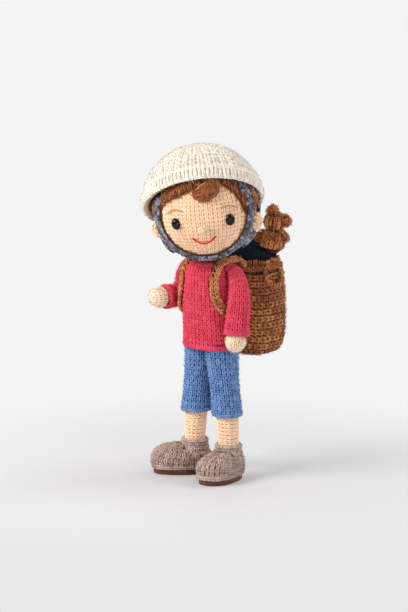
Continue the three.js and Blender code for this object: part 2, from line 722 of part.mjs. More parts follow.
function eyeBore(side) {
  const radius = EYE_SHANK_RADIUS + CLEARANCE;
  const length = EYE_SHANK_LENGTH + 2 + CLEARANCE;
  const bore = new THREE.CylinderGeometry(radius, radius, length, 12).rotateX(Math.PI / 2);
  return onFace(closed(bore.translate(0, 0, 2 - length / 2)), eyeDirection(side), HEAD_RADIUS + CLEARANCE);
}

addPiece(head, 'head', cut(
  headBall(HEAD_RADIUS),
  neckPost(CLEARANCE).applyMatrix4(intoHead),
  ...[1, -1].flatMap((side) => [eyeBore(side), eyeWasher(side, CLEARANCE)]),
), FINISH.peach);

const skin = headBall(hairInner, 30, 20);
const scalp = headBall(hairInner + 0.3, 24, 15);

function nose() {
  const bump = ball(NOSE_WIDTH / 2, NOSE_HEIGHT / 2, NOSE_BULGE, 16, 10);
  return cut(onFace(bump, headDirection(0, NOSE_ELEVATION), HEAD_RADIUS), skin);
}

function ear(side, grow = 0) {
  const cup = ball(EAR_DEPTH / 2 + grow, EAR_HEIGHT / 2 + grow, EAR_REACH + grow, 14, 10);
  return onFace(cup, headDirection(side * EAR_AZIMUTH, EAR_ELEVATION), HEAD_RADIUS);
}

function eyebrow(side) {
  const places = BROW_PLACES.map(([azimuth, elevation]) => [side * azimuth, elevation]);
  return headBand(places, () => BROW_THREAD, BROW_THREAD * 0.8, { inner: hairInner, steps: 10, sides: 6 });
}

function smile() {
  const places = Array.from({ length: 5 }, (_, i) => {
    const s = i / 2 - 1;
    const elevation = lerp(SMILE_MIDDLE_ELEVATION, SMILE_END_ELEVATION, s * s);
    return [s * SMILE_HALF_AZIMUTH, elevation];
  });
  return headBand(places, () => SMILE_THREAD, SMILE_THREAD * 0.8, { inner: hairInner, steps: 14, sides: 6 });
}

addPiece(head, 'nose', nose(), FINISH.peach);
[[1, 'left'], [-1, 'right']].forEach(([side, name]) => {
  addPiece(head, `ear_${name}`, cut(ear(side), skin), FINISH.peach);
  addPiece(head, `eye_${name}`, eye(side), FINISH.black);
  addPiece(head, `eye_washer_${name}`, eyeWasher(side), FINISH.plastic);
  addPiece(head, `eyebrow_${name}`, eyebrow(side), FINISH.brownThread);
});
addPiece(head, 'smile', smile(), FINISH.redThread);

// Lower edge of the hair as [azimuth, elevation] places round the head, forehead in the middle
const HAIRLINE = [
  [-180, -46], [-130, -42], [-106, -28], [-98, 0], [-84, 4], [-70, -12], [-58, 2], [-51, 13.5], [-26, 24.5],
  [-8, 33], [22, 38], [34, 30], [46, 15], [52, -2], [68, -13], [84, 4], [98, 0], [106, -28], [130, -42],
  [180, -46],
];

function hairCap() {
  const around = 40;
  const levels = [0.1, 0.28, 0.46, 0.64, 0.82, 1];
  const ring = (level, radius) => Array.from({ length: around }, (_, j) => {
    const azimuth = (360 * j) / around - 180;
    const elevation = lerp(90, through(HAIRLINE, azimuth), level);
    return headDirection(azimuth, elevation).multiplyScalar(radius);
  });
  const outer = levels.map((t) => ring(t, t === 1 ? hairOuter - 0.9 : hairOuter));
  return cut(loft([...outer, ring(1, HEAD_RADIUS * 0.9), ring(1.02, HEAD_RADIUS * 0.6)]), scalp);
}

// Swept lock in the middle of the forehead
const FRINGE_PLACES = [[20, 41], [16, 34], [10, 28.5], [3, 25.5], [-5, 25.5]];
const fringeWidth = (t) => FRINGE_WIDTH * (0.62 + 0.38 * Math.sin(Math.PI * t)) * (1 - 0.3 * t ** 4);

function fringe(grow = 0) {
  return headBand(FRINGE_PLACES, fringeWidth, FRINGE_THICKNESS, {
    inner: hairInner, steps: 9, sides: 10, grow,
  });
}

// Helmet: a thick bowl with a rim roll, tilted back over the crown and a little to its right
const helmetTurn = new THREE.Matrix4().makeRotationY(-rad(HELMET_ROLL))
  .multiply(new THREE.Matrix4().makeRotationX(-rad(HELMET_TILT)));

function helmet(grow = 0) {
  const segments = 32;
  const insideSteps = 6;
  const sagRoom = 1 / (Math.cos(Math.PI / segments) * Math.cos(rad(45 / insideSteps)));
  const inner = (helmetInner - grow) * sagRoom;
  const outer = helmetOuter + grow;
  const crown = helmetInner + HELMET_CROWN + grow;
  const arc = (radius, height, from, to, count) => Array.from({ length: count + 1 }, (_, i) => {
    const t = rad(lerp(from, to, i / count));
    return [radius * Math.cos(t), height * Math.sin(t)];
  });
  const angleAt = (z, height) => THREE.MathUtils.radToDeg(Math.asin(z / height));
  const low = RIM_LEVEL - grow;
  const groove = RIM_LEVEL + RIM_HEIGHT;
  const rim = outer * Math.cos(rad(angleAt(groove, crown))) + RIM_SWELL;
  const shell = turned([
    [0, low], [rim - 1.4, low], [rim, low + 2.4], [rim, groove - 2.6], [rim - 1.4, groove - 0.8],
    ...arc(outer, crown, angleAt(groove + 0.8, crown), 90, 7).slice(0, -1), [0, crown],
  ], segments).translate(-HELMET_LEAN, 0, 0);
  const hollow = turned([
    [0, low - 4], [inner + 0.4, low - 4], ...arc(inner, inner, angleAt(low + 0.8, inner), 90, insideSteps)
      .slice(0, -1), [0, inner],
  ], segments);
  return cut(shell, hollow).applyMatrix4(helmetTurn);
}

// Where the strap's circle meets the rim plane, plus the length sewn in under the rim
const rimCrossing = Math.tan(rad(HELMET_TILT)) / Math.tan(rad(CHIN_STRAP_ANGLE));
const strapTuck = (CHIN_STRAP_TUCK + RIM_LEVEL) / HEAD_RADIUS;
const chinStrapEnd = 90 + THREE.MathUtils.radToDeg(Math.asin(rimCrossing) + strapTuck);

// Places on a circle about the face direction, from one side of the rim, under the chin, to the other
function chinStrapPlaces() {
  const count = 15;
  return Array.from({ length: count }, (_, i) => {
    const turn = rad(lerp(-chinStrapEnd, chinStrapEnd, i / (count - 1)));
    const off = Math.sin(rad(CHIN_STRAP_ANGLE));
    const d = v3(off * Math.sin(turn), -Math.cos(rad(CHIN_STRAP_ANGLE)), -off * Math.cos(turn));
    return [THREE.MathUtils.radToDeg(Math.atan2(d.x, -d.y)), THREE.MathUtils.radToDeg(Math.asin(d.z))];
  });
}

function chinStrap(grow = 0) {
  return headBand(chinStrapPlaces(), () => CHIN_STRAP_WIDTH, HEAD_STRAP_THICKNESS, {
    inner: hairInner, steps: 26, sides: 8, grow,
  });
}

// Behind each ear, from under the rim down to the chin strap
function rearStrap(side, grow = 0) {
  const places = REAR_STRAP_PLACES.map(([azimuth, elevation]) => [side * azimuth, elevation]);
  return headBand(places, () => REAR_STRAP_WIDTH, HEAD_STRAP_THICKNESS, {
    inner: hairOuter - REAR_STRAP_SUNK, steps: 10, sides: 8, grow,
  });
}

addPiece(head, 'hair', mainBody(cut(
  hairCap(), chinStrap(CLEARANCE), rearStrap(1, CLEARANCE), rearStrap(-1, CLEARANCE),
  ear(1, CLEARANCE), ear(-1, CLEARANCE), fringe(CLEARANCE),
)), FINISH.brownHair);
addPiece(head, 'hair_fringe', mainBody(cut(fringe(), helmet(CLEARANCE))), FINISH.brownHair);
addPiece(head, 'helmet', helmet(), FINISH.cream);
addPiece(head, 'chin_strap', chinStrap(), FINISH.greyStrap);
[[1, 'left'], [-1, 'right']].forEach(([side, name]) => {
  const strap = cut(rearStrap(side), chinStrap(CLEARANCE), ear(side, CLEARANCE), helmet(CLEARANCE));
  addPiece(head, `rear_strap_${name}`, mainBody(strap), FINISH.greyStrap);
});

// Backpack: an open crocheted sack behind the back
const bagY = torsoHalfWidth(waistZ) * TORSO_DEPTH_SHARE + BAG_BACK_GAP + BAG_HALF_DEPTH;
const bagTop = BAG_BOTTOM + BAG_HEIGHT;
const bagNeckZ = bagTop - BAG_NECK_DROP;
const bagShare = (z) => through([
  [BAG_BOTTOM, 0.74], [BAG_BOTTOM + 2, 0.86], [BAG_BOTTOM + 7, 0.955], [BAG_BOTTOM + 18, 1],
  [BAG_BOTTOM + 0.66 * BAG_HEIGHT, 1], [bagTop - 12, 0.955], [bagNeckZ, BAG_NECK_SHARE],
  [bagTop, BAG_NECK_SHARE + 0.02],
], z);

function bagRing(z, grow, sides = 28) {
  const share = bagShare(z);
  return superellipse(BAG_HALF_WIDTH * share + grow, BAG_HALF_DEPTH * share + grow, BAG_SQUARENESS, sides)
    .map(([x, y]) => v3(x, bagY + y, z));
}

function bagSack() {
  const ringAt = (share, grow) => bagRing(BAG_BOTTOM + share * BAG_HEIGHT, grow);
  const outer = BAG_LEVELS.map((share) => ringAt(share, 0));
  const inner = BAG_LEVELS.slice(2).reverse().map((share) => ringAt(share, -BAG_WALL));
  const rim = [bagRing(bagTop - 0.6, -0.4), bagRing(bagTop, -1.2), bagRing(bagTop, -BAG_WALL + 0.7)];
  const floor = bagRing(BAG_BOTTOM + BAG_WALL, -BAG_WALL - 2);
  return loft([...outer, ...rim, ...inner, floor]);
}

// The sack without its hollow, grown by a gap, for cutting what meets it
function bagSolid(grow) {
  return loft([...BAG_LEVELS, 1].map((share) => bagRing(BAG_BOTTOM + share * BAG_HEIGHT, grow)));
}

// The sack's rim as a grown ring, so that the blanket's mound lies just above it
function bagRim(grow) {
  const low = bagNeckZ - 1;
  const outer = [bagRing(low, grow), bagRing(bagTop + grow, grow)];
  const inner = [bagRing(bagTop + grow, -BAG_WALL - grow), bagRing(low, -BAG_WALL - grow)];
  return loft([...outer, ...inner], true);
}

// Crocheted chain round the neck of the sack, with a carrying loop at the left
function neckChain() {
  const z = bagNeckZ;
  const lift = NECK_CHAIN_RADIUS + CLEARANCE;
  const centres = bagRing(z, lift, 28);
  const rings = centres.map((p, i) => {
    const next = centres[(i + 1) % centres.length];
    const before = centres[(i + centres.length - 1) % centres.length];
    const along = next.clone().sub(before).normalize();
    const out = v3(along.y, -along.x, 0);
    return Array.from({ length: 6 }, (_, j) => {
      const a = (2 * Math.PI * j) / 6;
      return p.clone().addScaledVector(out, NECK_CHAIN_RADIUS * Math.cos(a))
        .add(v3(0, 0, NECK_CHAIN_RADIUS * Math.sin(a)));
    });
  });
  const half = NECK_CHAIN_LOOP_WIDTH / 2;
  const x = (drop) => BAG_HALF_WIDTH * bagShare(z - drop) + lift + 0.3;
  const loop = [[-1, 0], [-0.98, 0.35], [-0.62, 0.86], [0, 1], [0.62, 0.86], [0.98, 0.35], [1, 0]]
    .map(([s, d]) => v3(x(d * NECK_CHAIN_LOOP_DROP), bagY - 3 + s * half, z - d * NECK_CHAIN_LOOP_DROP));
  return join(loft(rings, true), rod(loop, NECK_CHAIN_RADIUS, { steps: 14, sides: 6 }));
}

// A flat band along points, each with the direction that its face looks in
function ribbon(stations, width, thickness, steps) {
  const curve = new THREE.CatmullRomCurve3(stations.map(([p]) => p), false, 'centripetal');
  const faces = new THREE.CatmullRomCurve3(stations.map(([, n]) => n), false, 'centripetal');
  const rings = Array.from({ length: steps + 1 }, (_, i) => {
    const t = i / steps;
    const p = curve.getPoint(t);
    const along = curve.getTangent(t);
    const side = v3().crossVectors(along, faces.getPoint(t)).normalize();
    const out = v3().crossVectors(side, along).normalize();
    return superellipse(width / 2, thickness / 2, 2.8, 8)
      .map(([s, h]) => p.clone().addScaledVector(side, s).addScaledVector(out, h));
  });
  return loft(rings);
}

// Over the shoulder, down the chest and back under the arm to the sack
function bagStrap(side) {
  const lift = BAG_STRAP_THICKNESS / 2 + CLEARANCE + 0.55;
  const front = bagY - BAG_HALF_DEPTH;
  const x = BAG_STRAP_SPACING;
  const overZ = shoulderZ + 6.9;
  const place = (z, angle) => {
    const p = onTorso(z, angle, lift);
    return [p, onTorso(z, angle, lift + 5).sub(p).normalize()];
  };
  const stations = [
    [v3(x - 1.5, front + 1.8, bagTop - 2.5), v3(0.1, -0.55, 0.8)],
    [v3(x - 1, front - 3.5, overZ - 0.6), v3(0.3, 0.2, 0.9)],
    [v3(x, front - 14, overZ + 0.3), v3(0.35, 0.05, 0.95)],
    [v3(x + 0.3, -7.5, overZ - 0.5), v3(0.35, -0.35, 0.85)],
    [v3(x + 0.6, -12.6, overZ - 5), v3(0.35, -0.75, 0.5)],
    place(shoulderZ - 8, 50),
    place(shoulderZ - 18, 52),
    place(shoulderZ - 27, 66),
    place(shoulderZ - 32, 86),
    place(shoulderZ - 36, 104),
    place(shoulderZ - 41, 122),
    place(shoulderZ - 45, 134),
    [v3(BAG_STRAP_SPACING + 2.5, front + 1.4, shoulderZ - 48), v3(0.5, 0.4, 0.5)],
  ].map(([p, n]) => [v3(side * p.x, p.y, p.z), v3(side * n.x, n.y, n.z)]);
  const band = ribbon(stations, BAG_STRAP_WIDTH, BAG_STRAP_THICKNESS, 28);
  return cut(band, bagSolid(CLEARANCE), torso(CLEARANCE));
}

addPiece(doll, 'bag', bagSack(), FINISH.bagBrown);
addPiece(doll, 'bag_neck_chain', neckChain(), FINISH.strapTan);
addPiece(doll, 'bag_strap_left', bagStrap(1), FINISH.strapTan);
addPiece(doll, 'bag_strap_right', bagStrap(-1), FINISH.strapTan);

// Folded blanket: a wedge in the mouth of the sack with a soft mound above the rim
const pull = v3(0, Math.sin(rad(BLANKET_PULL_ANGLE)), Math.cos(rad(BLANKET_PULL_ANGLE)));

function blanketMound() {
  const mouth = bagRing(bagNeckZ, -BAG_WALL, 24);
  const neckShare = bagShare(bagNeckZ);
  const halfDepth = BAG_HALF_DEPTH * neckShare - BAG_WALL;
  const halfWidth = BAG_HALF_WIDTH * neckShare - BAG_WALL;
  const widthAt = (y) => halfWidth * (1 - Math.min(Math.abs(y / halfDepth), 1) ** BAG_SQUARENESS)
    ** (1 / BAG_SQUARENESS);
  const slant = Math.tan(rad(BLANKET_PULL_ANGLE));
  // Below the rim each slice is small enough to leave by the pull's slant
  const ring = (h, share, back) => mouth.map((p) => {
    const travel = Math.max(-h, 0) * slant;
    const inSack = travel > 0;
    const y = Math.min((p.y - bagY) * share, halfDepth - travel - (inSack ? 3 * CLEARANCE : -BAG_WALL));
    const wide = Math.abs(p.x) * share;
    const x = inSack ? Math.min(wide, widthAt(y + travel) - CLEARANCE) : wide;
    return v3(Math.sign(p.x) * Math.max(x, 0), bagY + y + back, bagTop + h);
  });
  const inside = 1 - CLEARANCE / halfDepth - 0.012;
  return loft([
    ring(-BLANKET_PLUG_DEPTH, inside * 0.94, 0),
    ring(-BLANKET_PLUG_DEPTH * 0.6, inside * 0.97, 0),
    ring(-2, inside, 0),
    ring(1.2, inside, 0),
    ring(3.2, 1.06, 1.2),
    ring(BLANKET_CROWN * 0.45, 1.08, 2.2),
    ring(BLANKET_CROWN * 0.7, 0.98, 3.2),
    ring(BLANKET_CROWN * 0.88, 0.8, 4),
    ring(BLANKET_CROWN * 0.98, 0.5, 4.6),
    ring(BLANKET_CROWN, 0.2, 5),
  ]);
}

// Bear: it sits in the blanket, looks away to the back and leans a little to its side
const bearAxis = v3(0.1, 0.1, 0.99).normalize();
const BEAR_FACE = v3(-0.3, 0.93, -0.1).normalize();
const BEAR_LEFT_EAR = v3(0.1, -0.35, 0.93);
const BEAR_RIGHT_EAR = v3(0.95, 0.3, 0.1);
const bearBase = v3(BEAR_X, bagY + 5.5, bagTop + BLANKET_CROWN - BEAR_SUNK - 0.5);
const alongBear = (h) => bearBase.clone().addScaledVector(bearAxis, h);

function bearBody(grow = 0, length = BEAR_BODY_LENGTH) {
  const r = BEAR_BODY_RADIUS + grow;
  const top = length === BEAR_BODY_LENGTH ? 0.7 : 1;
  const profile = [
    [0, -grow], [r * 0.62, 0.6 - grow], [r * 0.9, 3 - grow], [r, 6.5], [r, length * 0.5],
    [r * lerp(0.9, top, 0.5), length * 0.78], [r * top, length * 0.95], [0, length],
  ];
  return aim(turned(profile, 16), bearAxis).translate(bearBase.x, bearBase.y, bearBase.z);
}

const bearHeadCentre = alongBear(BEAR_BODY_LENGTH + BEAR_HEAD_RADIUS - 1.4);

const bearBall = (radius, grow = 0) => ball(radius + grow, radius + grow, radius + grow, 14, 9);
const put = (geometry, p) => geometry.translate(p.x, p.y, p.z);

function bearHead(grow = 0) {
  return put(bearBall(BEAR_HEAD_RADIUS, grow), bearHeadCentre);
}

function bearEar(direction) {
  const d = direction.clone().normalize();
  const disc = ball(BEAR_EAR_RADIUS, BEAR_EAR_RADIUS, BEAR_EAR_RADIUS * 0.62, 12, 8);
  const place = bearHeadCentre.clone().addScaledVector(d, BEAR_HEAD_RADIUS + 0.9);
  return cut(put(aim(disc, BEAR_FACE), place), bearHead(CLEARANCE));
}

function bearMuzzle() {
  const place = bearHeadCentre.clone().addScaledVector(BEAR_FACE, BEAR_HEAD_RADIUS);
  const snout = ball(BEAR_MUZZLE_RADIUS, BEAR_MUZZLE_RADIUS, BEAR_MUZZLE_RADIUS, 10, 7);
  return cut(put(snout, place), bearHead(CLEARANCE));
}

function bearArm(side) {
  const across = v3(0.85, 0.5, 0).multiplyScalar(side);
  const start = alongBear(BEAR_BODY_LENGTH * 0.8).addScaledVector(across, BEAR_BODY_RADIUS * 0.72);
  const end = start.clone().addScaledVector(across, BEAR_ARM_LENGTH * 0.38)
    .addScaledVector(bearAxis, -BEAR_ARM_LENGTH * 0.4);
  const arm = stuffedTube([start, end], () => BEAR_ARM_RADIUS, {
    steps: 2, sides: 10, startDome: BEAR_ARM_RADIUS, endDome: BEAR_ARM_RADIUS,
  });
  return cut(arm, bearBody(CLEARANCE), bearHead(CLEARANCE));
}

addPiece(doll, 'blanket', cut(
  blanketMound(), bearBody(CLEARANCE, 40), bagRim(CLEARANCE),
), FINISH.teal);
const bear = new THREE.Group();
bear.name = 'bear';
doll.add(bear);
addPiece(bear, 'bear_body', cut(bearBody(), bearHead(CLEARANCE)), FINISH.bearBrown);
addPiece(bear, 'bear_head', bearHead(), FINISH.bearBrown);
addPiece(bear, 'bear_ear_left', bearEar(BEAR_LEFT_EAR), FINISH.bearBrown);
addPiece(bear, 'bear_ear_right', bearEar(BEAR_RIGHT_EAR), FINISH.bearBrown);
addPiece(bear, 'bear_muzzle', bearMuzzle(), FINISH.strapTan);
addPiece(bear, 'bear_arm_left', bearArm(1), FINISH.bearBrown);
addPiece(bear, 'bear_arm_right', bearArm(-1), FINISH.bearBrown);

// The origin goes to the middle of the footprint of the whole object, on the floor
doll.updateMatrixWorld(true);
const box = new THREE.Box3().setFromObject(doll, true);
doll.position.set(-(box.min.x + box.max.x) / 2, -(box.min.y + box.max.y) / 2, -box.min.z);

export default doll;
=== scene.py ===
"""Crocheted hiker doll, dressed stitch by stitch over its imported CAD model.

Sizes are millimetres in the classes and metres in the meshes. The doll faces -Y, its left hand is at +X.
"""

import logging
import math
from dataclasses import dataclass, field, replace
from enum import Enum
from typing import Callable, Sequence

import bmesh
import bpy
import numpy as np
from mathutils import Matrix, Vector
from mathutils.bvhtree import BVHTree


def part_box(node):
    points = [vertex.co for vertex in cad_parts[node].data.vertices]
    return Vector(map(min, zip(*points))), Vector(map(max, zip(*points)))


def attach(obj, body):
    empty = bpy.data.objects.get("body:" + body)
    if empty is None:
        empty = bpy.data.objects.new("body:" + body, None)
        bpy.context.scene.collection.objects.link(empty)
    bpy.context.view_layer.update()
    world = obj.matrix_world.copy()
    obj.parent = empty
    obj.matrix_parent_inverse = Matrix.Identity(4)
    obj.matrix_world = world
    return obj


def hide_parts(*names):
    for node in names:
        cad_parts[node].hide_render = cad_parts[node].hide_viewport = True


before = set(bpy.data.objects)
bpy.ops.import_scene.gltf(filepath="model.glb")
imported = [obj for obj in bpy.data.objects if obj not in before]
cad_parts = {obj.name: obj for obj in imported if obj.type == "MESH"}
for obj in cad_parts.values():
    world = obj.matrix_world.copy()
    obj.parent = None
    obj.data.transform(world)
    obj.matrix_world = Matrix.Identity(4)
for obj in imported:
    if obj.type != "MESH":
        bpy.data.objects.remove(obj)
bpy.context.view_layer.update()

log = logging.getLogger("doll")

MM = 0.001
ANKLES = np.array((2.044, -6.168, 0.0))
GRID_ANGLES = 72
COUNT_STEPS = (1 / 12, 1 / 6, 1 / 4, 3 / 8, 1 / 2, 3 / 4, 1)
SIDES = ((1, "left"), (-1, "right"))

Point = np.ndarray
Colour = tuple[int, int, int]
Material = bpy.types.Material
Node = bpy.types.Node
Piece = bpy.types.Object
Socket = bpy.types.NodeSocket


# Small maths

def vec(x: float, y: float, z: float) -> Point:
    """A point or direction."""
    return np.array((x, y, z), float)


def unit(v: Point) -> Point:
    """The direction of v, or of each row of v."""
    return v / np.maximum(np.linalg.norm(v, axis=-1, keepdims=True), 1e-9)


def turn_z(degrees: float) -> np.ndarray:
    """Rotation about Z."""
    c, s = math.cos(math.radians(degrees)), math.sin(math.radians(degrees))
    return np.array(((c, -s, 0), (s, c, 0), (0, 0, 1)), float)


def turn_y(degrees: float) -> np.ndarray:
    """Rotation about Y."""
    c, s = math.cos(math.radians(degrees)), math.sin(math.radians(degrees))
    return np.array(((c, 0, s), (0, 1, 0), (-s, 0, c)), float)


def turn_x(degrees: float) -> np.ndarray:
    """Rotation about X."""
    c, s = math.cos(math.radians(degrees)), math.sin(math.radians(degrees))
    return np.array(((1, 0, 0), (0, c, -s), (0, s, c)), float)


def linear(colour: Colour) -> tuple[float, ...]:
    """A screen colour from 0 to 255 as the renderer's linear one."""
    parts = (c / 255 for c in colour)
    return (*(c / 12.92 if c <= 0.04045 else ((c + 0.055) / 1.055) ** 2.4 for c in parts), 1.0)


def run_along(line: np.ndarray) -> np.ndarray:
    """The distance along a line to each of its points."""
    return np.concatenate(((0,), np.cumsum(np.linalg.norm(np.diff(line, axis=0), axis=1))))


def between(ring: np.ndarray, m: int, t: float) -> np.ndarray:
    """A ring's value at a share t past its place m."""
    return ring[m] * (1 - t) + ring[(m + 1) % len(ring)] * t


def smooth_path(points: Sequence[Point], count: int) -> np.ndarray:
    """Points evenly spaced on a smooth line.

    Args:
        points: The places that the line goes through.
        count: How many points to return.

    Returns:
        An array of count points.
    """
    p = np.array(points, float)
    p = np.vstack((2 * p[0] - p[1], p, 2 * p[-1] - p[-2]))
    fine = []
    for i in range(1, len(p) - 2):
        for t in np.linspace(0, 1, 24, endpoint=i == len(p) - 3):
            a, b, c, d = p[i - 1:i + 3]
            fine.append(0.5 * (2 * b + (c - a) * t + (2 * a - 5 * b + 4 * c - d) * t ** 2
                               + (3 * b - a - 3 * c + d) * t ** 3))
    fine = np.array(fine)
    run = run_along(fine)
    at = np.linspace(0, run[-1], count)
    return np.stack([np.interp(at, run, fine[:, k]) for k in range(3)], axis=1)


# Node trees

class Board:
    """A node tree with short calls for adding and joining nodes."""

    def __init__(self, tree: bpy.types.NodeTree) -> None:
        """Takes the tree to build in."""
        self.tree = tree

    def add(self, kind: str, inputs: dict | None = None, **props: object) -> Node:
        """Adds a node.

        Args:
            kind: The node's type name.
            inputs: Values or sockets by input name or number.
            props: The node's own settings.

        Returns:
            The new node.
        """
        node = self.tree.nodes.new(kind)
        for key, value in props.items():
            setattr(node, key, value)
        self.feed(node, inputs or {})
        return node

    def feed(self, node: Node, inputs: dict) -> None:
        """Sets a node's inputs, or joins sockets to them.

        Args:
            node: The node.
            inputs: Values or sockets by input name or number.
        """
        for key, value in inputs.items():
            named = (s for s in node.inputs if s.name == key and s.enabled)
            socket = node.inputs[key] if isinstance(key, int) else next(named)
            if isinstance(value, Socket):
                self.tree.links.new(value, socket)
            else:
                socket.default_value = value

    @staticmethod
    def out(node: Node, name: str) -> Socket:
        """The node's first enabled output of that name."""
        return next(s for s in node.outputs if s.name == name and s.enabled)

    def maths(self, operation: str, *values: Socket | float, clamp: bool = False) -> Socket:
        """The result of one Math node of a shader or geometry tree."""
        inputs = dict(enumerate(values))
        return self.add("ShaderNodeMath", inputs, operation=operation, use_clamp=clamp).outputs[0]

    def vectors(self, operation: str, *values: object, out: str = "Vector") -> Socket:
        """The result of one Vector Math node."""
        return self.add("ShaderNodeVectorMath", dict(enumerate(values)), operation=operation).outputs[out]

    def eased(self, value: Socket, low: float, high: float, start: float, end: float) -> Socket:
        """A value between two limits, taken smoothly to another range.

        Args:
            value: The value.
            low: Its lower limit.
            high: Its upper limit.
            start: The result at the lower limit.
            end: The result at the upper limit.

        Returns:
            The result.
        """
        return self.add("ShaderNodeMapRange", {
            "Value": value, "From Min": low, "From Max": high, "To Min": start, "To Max": end,
        }, interpolation_type="SMOOTHSTEP").outputs["Result"]

    def store(self, geometry: Socket, name: str, value: Socket, kind: str = "FLOAT",
              domain: str = "POINT") -> Socket:
        """Keeps a value on a geometry as a named attribute.

        Args:
            geometry: The geometry.
            name: The attribute's name.
            value: The value.
            kind: Its data type.
            domain: What carries it.

        Returns:
            The geometry with the attribute.
        """
        inputs = {"Geometry": geometry, "Name": name, "Value": value}
        return self.add("GeometryNodeStoreNamedAttribute", inputs, data_type=kind, domain=domain).outputs[0]


# Finishes

@dataclass(frozen=True)
class Finish:
    """What every finish has: a name, the record's slot and its middle colour."""

    name: str
    slot: str
    colour: Colour

    def shader(self) -> tuple[Material, Board, Node, Socket]:
        """A new material with its board, its Principled shader and Object coordinates.

        Returns:
            The material, its board, its Principled shader and the socket of Object coordinates.
        """
        material = bpy.data.materials.new(self.name)
        material.use_nodes = True
        board = Board(material.node_tree)
        principled = material.node_tree.nodes["Principled BSDF"]
        coordinates = board.add("ShaderNodeTexCoord").outputs["Object"]
        return material, board, principled, coordinates

    @staticmethod
    def noise(board: Board, at: Socket, size: float, detail: float = 3.0,
              rough: float = 0.6) -> Socket:
        """Noise whose features are about size millimetres across.

        Args:
            board: The material's board.
            at: The coordinates.
            size: The size of its features in millimetres.
            detail: How many finer layers it has.
            rough: How strong those layers are.

        Returns:
            The noise, from 0 to 1.
        """
        return board.add("ShaderNodeTexNoise", {
            "Vector": at, "Scale": 1 / (size * MM), "Detail": detail, "Roughness": rough,
        }).outputs["Fac"]

    @staticmethod
    def ramp(board: Board, fac: Socket,
             stops: Sequence[tuple[float, Colour]]) -> Socket:
        """A colour for each share from 0 to 1.

        Args:
            board: The material's board.
            fac: The share.
            stops: Shares with the colour at each.

        Returns:
            The colour.
        """
        node = board.add("ShaderNodeValToRGB", {0: fac})
        elements = node.color_ramp.elements
        while len(elements) < len(stops):
            elements.new(0.5)
        for element, (place, colour) in zip(elements, stops):
            element.position = place
            element.color = linear(colour)
        return node.outputs["Color"]

    @staticmethod
    def bump(board: Board, principled: Node, height: Socket,
             depth: float, strength: float = 1.0) -> None:
        """Gives the surface relief of that depth in millimetres."""
        node = board.add("ShaderNodeBump", {"Height": height, "Distance": depth * MM, "Strength": strength})
        board.feed(principled, {"Normal": node.outputs["Normal"]})


@dataclass(frozen=True)
class Yarn(Finish):
    """Spun yarn: twisted plies, loose fibres and a mottled dye, with painted shade and painted highlight on
    the twist.
    """

    # Dark end of the colour: random dark fibres, painted shade in the twist's grooves and, darker still, the
    # painted shade between stitches.
    shade_and_dark_tone: Colour = (90, 60, 50)
    # Light end of the colour: random light fibres and a painted highlight on the twist's ridges.
    light: Colour = (255, 230, 210)
    fibre: float = 0.45
    mottle: float = 0.5
    plies: float = 3.0
    depth: float = 0.16
    sheen: float = 0.08
    uneven: float = 0.22

    def material(self) -> Material:
        """The stitches' finish, which reads the strands' ply and shade attributes.

        Returns:
            The material.
        """
        material, board, principled, at = self.shader()
        fine = self.noise(board, at, self.fibre)
        broad = self.noise(board, at, 7.0, 2.0)
        ply = self.ply(board)
        shade = board.add("ShaderNodeAttribute", attribute_name="shade").outputs["Fac"]
        total = board.maths("MULTIPLY_ADD", fine, self.mottle * 1.3, 0.5 - 0.65 * self.mottle)
        # The ply term paints highlight on the twist's ridges and shade in its grooves, over the bump's real
        # relief. The noises and the shade attribute, a random tone for each stitch, are the yarn's own
        # mottling.
        for part, share in ((broad, 0.35), (shade, self.uneven), (ply, 0.16)):
            total = board.maths("MULTIPLY_ADD", part, share, total)
        total = board.maths("SUBTRACT", total, 0.16 + self.uneven / 2, clamp=True)
        colour = self.ramp(board, total, ((0.0, self.shade_and_dark_tone), (0.42, self.colour), (1.0, self.light)))
        self.bump(board, principled, board.maths("MULTIPLY_ADD", ply, 0.45, fine), self.depth)
        self.cloth(board, principled, colour)
        return material

    def ply(self, board: Board) -> Socket:
        """Height of the twisted plies, from -1 to 1, out of the strand's round and along attributes.

        Args:
            board: The material's board.

        Returns:
            The height.
        """
        around = board.add("ShaderNodeAttribute", attribute_name="ply_round").outputs["Vector"]
        along = board.add("ShaderNodeAttribute", attribute_name="ply_along").outputs["Fac"]
        parts = board.add("ShaderNodeSeparateXYZ", {0: around})
        phase = board.maths("MULTIPLY", along, 2 * math.pi * self.plies)
        left = board.maths("MULTIPLY", board.maths("SINE", phase), parts.outputs["X"])
        right = board.maths("MULTIPLY", board.maths("COSINE", phase), parts.outputs["Y"])
        return board.maths("ADD", left, right)

    def backing(self) -> Material:
        """The layer that shows between the stitches, coloured darker than the yarn as painted shade.

        Returns:
            The material.
        """
        material, board, principled, at = self.shader()
        material.name = f"{self.name}_backing"
        fine = self.noise(board, at, self.fibre * 1.6)
        # Painted shade for the hollows between stitches: the yarn's dark colour, and a darker one still.
        dark = tuple(int(c * 0.8) for c in self.shade_and_dark_tone)
        colour = self.ramp(board, fine, ((0.25, dark), (0.75, self.shade_and_dark_tone)))
        self.bump(board, principled, fine, self.depth)
        self.cloth(board, principled, colour)
        return material

    def cloth(self, board: Board, principled: Node, colour: Socket) -> None:
        """Gives the surface its colour on dull fibres with a faint sheen.

        Args:
            board: The material's board.
            principled: Its shader.
            colour: The colour.
        """
        board.feed(principled, {
            "Base Color": colour, "Roughness": 0.93, "Specular IOR Level": 0.25,
            "Sheen Weight": self.sheen, "Sheen Roughness": 0.5,
        })


